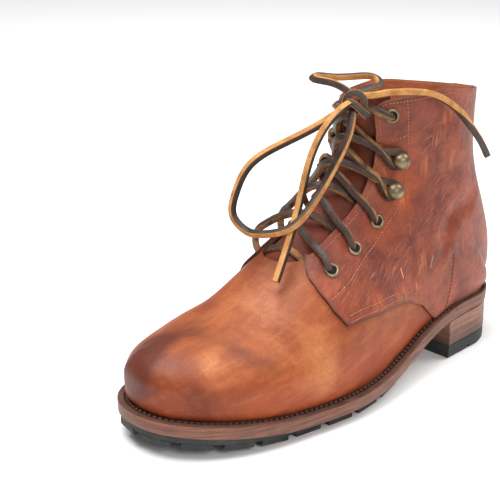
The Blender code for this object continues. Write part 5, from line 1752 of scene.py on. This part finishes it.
# radius, height of each turned shape
EYELET_PROFILE = [(0.0029, -0.0006), (0.0029, 0.0003), (0.0032, 0.0009), (0.0037, 0.0012), (0.0043, 0.0010),
                  (0.0048, 0.0004), (0.0048, -0.0004)]
HOLE_PROFILE = [(0.0, 0.0), (0.0031, 0.0)]
HOOK_PROFILE = [(0.0, -0.0006), (0.0036, -0.0006), (0.0036, 0.0004), (0.0022, 0.0008), (0.0020, 0.0038),
                (0.0030, 0.0044), (0.0050, 0.0046), (0.0055, 0.0054), (0.0054, 0.0068), (0.0048, 0.0084),
                (0.0037, 0.0097), (0.0019, 0.0105), (0.0, 0.0107)]


def seat(row, side, lift):
    """Matrix of a fitting's seat: Z along the facing's normal, X towards the throat, Y up the boot."""
    at = np.array([station(row)])
    share = height_at_y(at, facing_y(at, side), side) - FITTING_SETBACK
    normal = Vector(upper_normals(at, share, side)[0])
    low, high = (upper_points(at, share + step, side)[0] for step in (-SEAT_STEP, SEAT_STEP))
    inward = Vector(high - low)
    inward = (inward - normal * inward.dot(normal)).normalized()
    place = Vector(upper_points(at, share, side)[0]) + normal * lift
    turn = Matrix((inward, normal.cross(inward), normal)).transposed().to_4x4()
    return Matrix.Translation(place) @ turn


aged_brass = brass_finish()
hole_shadow = hole_shadow_finish()
shapes = {
    # name: shape, profile, whether it closes in a ring, rows, finish, rise over the facing
    "eyelets": ("eyelet", EYELET_PROFILE, True, EYELETS, aged_brass, 0.0003),
    # a flat dark disc in each eyelet: painted shadow where the hole goes through
    "eyelet_holes": ("hole", HOLE_PROFILE, False, EYELETS, hole_shadow, 0.0002),
    "hooks": ("hook", HOOK_PROFILE, False, HOOKS, aged_brass, 0.0004),
}
for name, (label, profile, closed_ring, rows, finish, rise) in shapes.items():
    shape = shape_object(label, turned_mesh(label, profile, FITTING_SIDES, closed_ring))
    places = [seat(row, side, FACING_LIFT + rise) for side in (1, -1) for row in rows]
    stood_for = [] if label == "hole" else [f"{label}_{k + 1}_{word}" for word in ("lateral", "medial")
                                            for k in range(len(rows))]
    run_tree(f"boot_{name}", points_mesh(label, places), set_out,
             {"Shape": shape, "Size": 1.0, "Finish": finish}, stood_for)

# %% [markdown]
# ## The laced crossings
# The thong comes up through an eyelet, crosses the tongue, dives under the other facing and comes up again
# one hole higher. Each crossing is a strand of its own: from under its hole, over one facing's edge, across
# and down under the other. At the hooks it goes round the neck and back. Where two strands meet in the
# middle, the one that leaves the medial side lies above. The lowest bar lies across the tongue's base.

# %% Points of a strand
STOPS = [("eyelet", EYELETS[0]), ("eyelet", EYELETS[1]), ("eyelet", EYELETS[2]), ("hook", HOOKS[0]),
         ("hook", HOOKS[1]), ("eyelet", EYELETS[3])]
HALF_THONG = THONG_THICK / 2
ON_FACING = FACING_LIFT + HALF_THONG
UNDER_FACING = -(WALL + HALF_THONG + 0.0003)
HOOK_TURN = 0.0041
HOOK_LIFT = 0.0032
CROSS_LIFTS = {1: -0.0020, -1: 0.0042}
MEDIAL_BULGE = 0.0070
LATERAL_CLIMB = 1.8
MEDIAL_CLIMB = 2.0
NEAR_RIDGE = 0.985
BAR_AHEAD = 0.025
BAR_TUCK = 0.006
BAR_MIDDLE = -0.004
BAR_LIFTS = [UNDER_FACING, -0.0034, -0.0014, -0.0034, UNDER_FACING]
BAR_TWIST = ((0.0, 180.0), (0.35, 180.0), (0.5, 0.0), (1.0, 0.0))


def drape(stations, widths, lifts):
    """Points over the facings and the tongue at stations and ys, lifted off the face they share."""
    points = []
    for at, y, lift in zip(np.atleast_1d(stations)[:, None], widths, lifts):
        side = 1 if y >= spline(KNOTS, TABLE[:, 10], at)[0] else -1
        share = np.minimum(height_at_y(at, y, side), 0.99)
        points.append((upper_points(at, share, side) + upper_normals(at, share, side) * lift)[0])
    return points


def near_seat(row, side, inward, up, lift):
    """A point near a fitting, in its seat's own axes."""
    return np.array(seat(row, side, FACING_LIFT) @ Vector((inward, up * side, lift)))


def crossing_points(start, finish, side, middle_lift):
    """Points of one strand from a hole or hook to the one above it on the other side."""
    (kind, row), (next_kind, next_row) = start, finish
    at = np.array([station(row), station(next_row)])
    seats = [seat(row, side, 0.0).translation.y, seat(next_row, -side, 0.0).translation.y]
    edges = [float(facing_y(at[:1], side)[0]), float(facing_y(at[1:], -side)[0])]
    middle = float(spline(KNOTS, TABLE[:, 10], at.mean()))
    if kind == "eyelet":
        bulge = MEDIAL_BULGE if side < 0 else 0.0
        points = [near_seat(row, side, 0.0014, 0.0010, -0.0015), near_seat(row, side, 0.0022, 0.0014, 0.0018)]
        widths = [seats[0] - side * 0.0050, edges[0], middle]
        lifts = [ON_FACING + 0.0010 + bulge, ON_FACING + bulge, middle_lift]
    else:
        points = [near_seat(row, side, -HOOK_TURN, 0.0, HOOK_LIFT),
                  near_seat(row, side, -0.0010, HOOK_TURN, HOOK_LIFT)]
        widths = [seats[0] - side * 0.0060, edges[0], middle]
        lifts = [ON_FACING + 0.0012, ON_FACING, middle_lift]
    if next_kind == "eyelet":
        widths += [edges[1] + side * 0.0050, edges[1] - side * 0.0010, seats[1]]
        lifts += [-0.0012, UNDER_FACING, UNDER_FACING - 0.0012]
        last = []
    else:
        widths += [edges[1], seats[1] + side * 0.0060]
        lifts += [ON_FACING, ON_FACING + 0.0012]
        last = [near_seat(next_row, -side, -0.0010, -HOOK_TURN, HOOK_LIFT),
                near_seat(next_row, -side, -HOOK_TURN, 0.0, HOOK_LIFT)]
    share = (np.array(widths) - seats[0]) / (seats[1] - seats[0])
    climb = share**LATERAL_CLIMB if side > 0 else 1 - (1 - share) ** MEDIAL_CLIMB
    return points + drape(at[0] + (at[1] - at[0]) * climb, widths, lifts) + last


print("stops on each side:", len(STOPS))

# %% Lace the boot
strands = []
for first_side in (1, -1):
    side = first_side
    for start, finish in zip(STOPS, STOPS[1:]):
        path = smooth_run(crossing_points(start, finish, side, CROSS_LIFTS[side]), THONG_STEP)
        middle_row = (start[1] + finish[1]) / 2
        low, high = (over_upper(middle_row, NEAR_RIDGE, side, lift) for lift in (0.0, 1.0))
        strands.append(sweep_thong(path, high - low))
        side = -side
lowest = float(station(EYELETS[0]))
low_edges = [float(facing_y(np.array([lowest]), side)[0]) for side in (1, -1)]
bar_widths = [low_edges[0] + BAR_TUCK, low_edges[0], BAR_MIDDLE, low_edges[1], low_edges[1] - BAR_TUCK]
bar = drape([lowest - BAR_AHEAD] * len(bar_widths), bar_widths, BAR_LIFTS)
strands.append(sweep_thong(smooth_run(bar, THONG_STEP), np.array([0.5, 0.0, 0.8]), BAR_TWIST))
for side in (1, -1):
    row = EYELETS[3]
    by_knot = KNOT_CENTRE + np.array([-0.0030, side * 0.0040, -0.0030])
    hole = near_seat(row, side, 0.0008, 0.0002, 0.0020)
    arched = hole * 0.6 + by_knot * 0.4 + np.array([0.003, 0.0, 0.002])
    to_knot = [near_seat(row, side, 0.0, 0.0, -0.0015), hole, arched, by_knot]
    strands.append(sweep_thong(smooth_run(to_knot, THONG_STEP), np.array([0.5, side * 0.3, 0.8])))
thong_piece("boot_lace", strands, "lace_crossings", thong_worn)
print("strands:", len(strands))

# %% [markdown]
# ## Stitches
# Rows of thread hold the panels together. A stitch is a small pill that lies along its row and sinks a little
# into the leather. The tree turns each row of edges into a curve, spaces points along it by the pitch, and
# lays a pill on every point along the row, flat on the leather.


# %% A tree that sews a row
def stitch_tree():
    """Lays stitches along rows of edges, flat against the face that the rows' points name."""
    tree, given, result = new_tree("stitch_row", [("Pitch", "NodeSocketFloat"),
                                                  ("Stitch", "NodeSocketVector"),
                                                  ("Thread", "NodeSocketMaterial")])
    curve = add_node(tree, "GeometryNodeMeshToCurve", {"Mesh": given.outputs["Geometry"]})
    spaced = add_node(tree, "GeometryNodeResampleCurve", {"Curve": curve.outputs["Curve"],
                                                          "Length": given.outputs["Pitch"]}, mode="LENGTH")
    pill = add_node(tree, "GeometryNodeMeshUVSphere", {"Segments": 8, "Rings": 5, "Radius": 0.5})
    shaped = add_node(tree, "GeometryNodeTransform", {"Geometry": pill.outputs["Mesh"],
                                                      "Scale": given.outputs["Stitch"]})
    tangent = add_node(tree, "GeometryNodeInputTangent")
    face = add_node(tree, "GeometryNodeInputNamedAttribute", {"Name": "face"}, data_type="FLOAT_VECTOR")
    along = add_node(tree, "FunctionNodeAlignRotationToVector", {"Vector": tangent.outputs["Tangent"]},
                     axis="X")
    flat = add_node(tree, "FunctionNodeAlignRotationToVector", {
        "Rotation": along.outputs["Rotation"], "Vector": face.outputs["Attribute"]}, axis="Z", pivot_axis="X")
    laid = add_node(tree, "GeometryNodeInstanceOnPoints", {
        "Points": spaced.outputs["Curve"], "Instance": shaped.outputs["Geometry"],
        "Rotation": flat.outputs["Rotation"]})
    real = add_node(tree, "GeometryNodeRealizeInstances", {"Geometry": laid.outputs["Instances"]})
    smooth = add_node(tree, "GeometryNodeSetShadeSmooth", {"Geometry": real.outputs["Geometry"]})
    thread = add_node(tree, "GeometryNodeSetMaterial", {"Geometry": smooth.outputs["Geometry"],
                                                        "Material": given.outputs["Thread"]})
    tree.links.new(thread.outputs["Geometry"], result.inputs["Geometry"])
    return tree


def thread_finish(name, colour, dark):
    """Waxed thread."""
    material, tree, shader, place = new_finish(name)
    shade = mix(tree, spread(tree, noise(tree, place, 900.0, 4.0), 0.35, 0.7), colour, dark)
    set_inputs(tree, shader, {"Base Color": shade, "Roughness": 0.7})
    bump(tree, shader, (noise(tree, place, 4000.0), 0.0001, 0.4))
    return material


def rows_mesh(name, rows):
    """Edges along rows of points, each point with the normal of the face it lies on."""
    points, edges, normals = [], [], []
    for path, face in rows:
        first = len(points)
        points += (path - ORIGIN).tolist()
        normals.append(face)
        edges += [(first + i, first + i + 1) for i in range(len(path) - 1)]
    mesh = bpy.data.meshes.new(name)
    mesh.from_pydata(points, edges, [])
    facing = mesh.attributes.new("face", "FLOAT_VECTOR", "POINT")
    facing.data.foreach_set("vector", np.vstack(normals).reshape(-1))
    return mesh


# %% Sew the rows
# length, width and height of a stitch
PALE_STITCH = (0.0017, 0.0006, 0.0006)
DARK_STITCH = (0.0019, 0.0008, 0.0006)
PALE_PITCH = 0.0023
DARK_PITCH = 0.0024
STRIP_SEAM_COLUMN = 2

pale_rows = pale_seams(1) + pale_seams(-1)
dark_rows = [upper_row(COUNTER_ROW, side, STITCH_LIFT) for side in (1, -1)]
for side in (1, -1):
    points, normals = upper_row(COLLAR_ROW, side, -WALL - THREAD_PROUD)
    pale_rows.append((points, -normals))
strip_along = np.gradient(strip_grid, axis=0)
strip_faces = np.cross(strip_along, np.gradient(strip_grid, axis=1))
strip_faces /= np.linalg.norm(strip_faces, axis=-1, keepdims=True)
for column in (STRIP_SEAM_COLUMN, strip_grid.shape[1] - 1 - STRIP_SEAM_COLUMN):
    pale_rows.append((strip_grid[:, column] + strip_faces[:, column] * (STRIP_THICK + THREAD_PROUD),
                      strip_faces[:, column]))

sew = stitch_tree()
pale_thread = thread_finish("pale_thread", paint(196, 132, 94), paint(150, 90, 62))
dark_thread = thread_finish("dark_thread", paint(70, 40, 28), paint(48, 28, 20))
run_tree("boot_stitches", rows_mesh("pale_rows", pale_rows), sew,
         {"Pitch": PALE_PITCH, "Stitch": PALE_STITCH, "Thread": pale_thread})
run_tree("boot_counter_stitches", rows_mesh("dark_rows", dark_rows), sew,
         {"Pitch": DARK_PITCH, "Stitch": DARK_STITCH, "Thread": dark_thread})

# %% Sew the welt
WELT_SEW_SHARE = 0.80
WELT_STITCH = (0.0031, 0.0022, 0.0017)
WELT_PITCH = 0.0037
WELT_SEW_SUNK = 0.0004
WELT_SEW_START = WELT_END + 0.002

x = np.concatenate([np.linspace(WELT_SEW_START, TOE_BREAK, 140)[:-1],
                    TOE_BREAK + (LENGTH - WELT_SEW_SHARE * WELT_SHOWN - TOE_BREAK)
                    * np.sin(np.linspace(0, math.pi / 2, 80))])
half_rows = []
for side in (0, 1):
    y = np.array([float(edge(at, WELT_SEW_SHARE * float(welt_shown(at)))[side]) for at in x])
    half_rows.append(np.stack([x, y, welt_top(x) - WELT_SEW_SUNK], -1))
welt_row = np.concatenate([half_rows[0], half_rows[1][::-1][1:]])
welt_thread = thread_finish("welt_thread", paint(92, 55, 42), paint(48, 29, 23))
welt_face = np.tile([0.0, 0.0, 1.0], (len(welt_row), 1))
run_tree("boot_welt_stitches", rows_mesh("welt_row", [(welt_row, welt_face)]), sew,
         {"Pitch": WELT_PITCH, "Stitch": WELT_STITCH, "Thread": welt_thread})
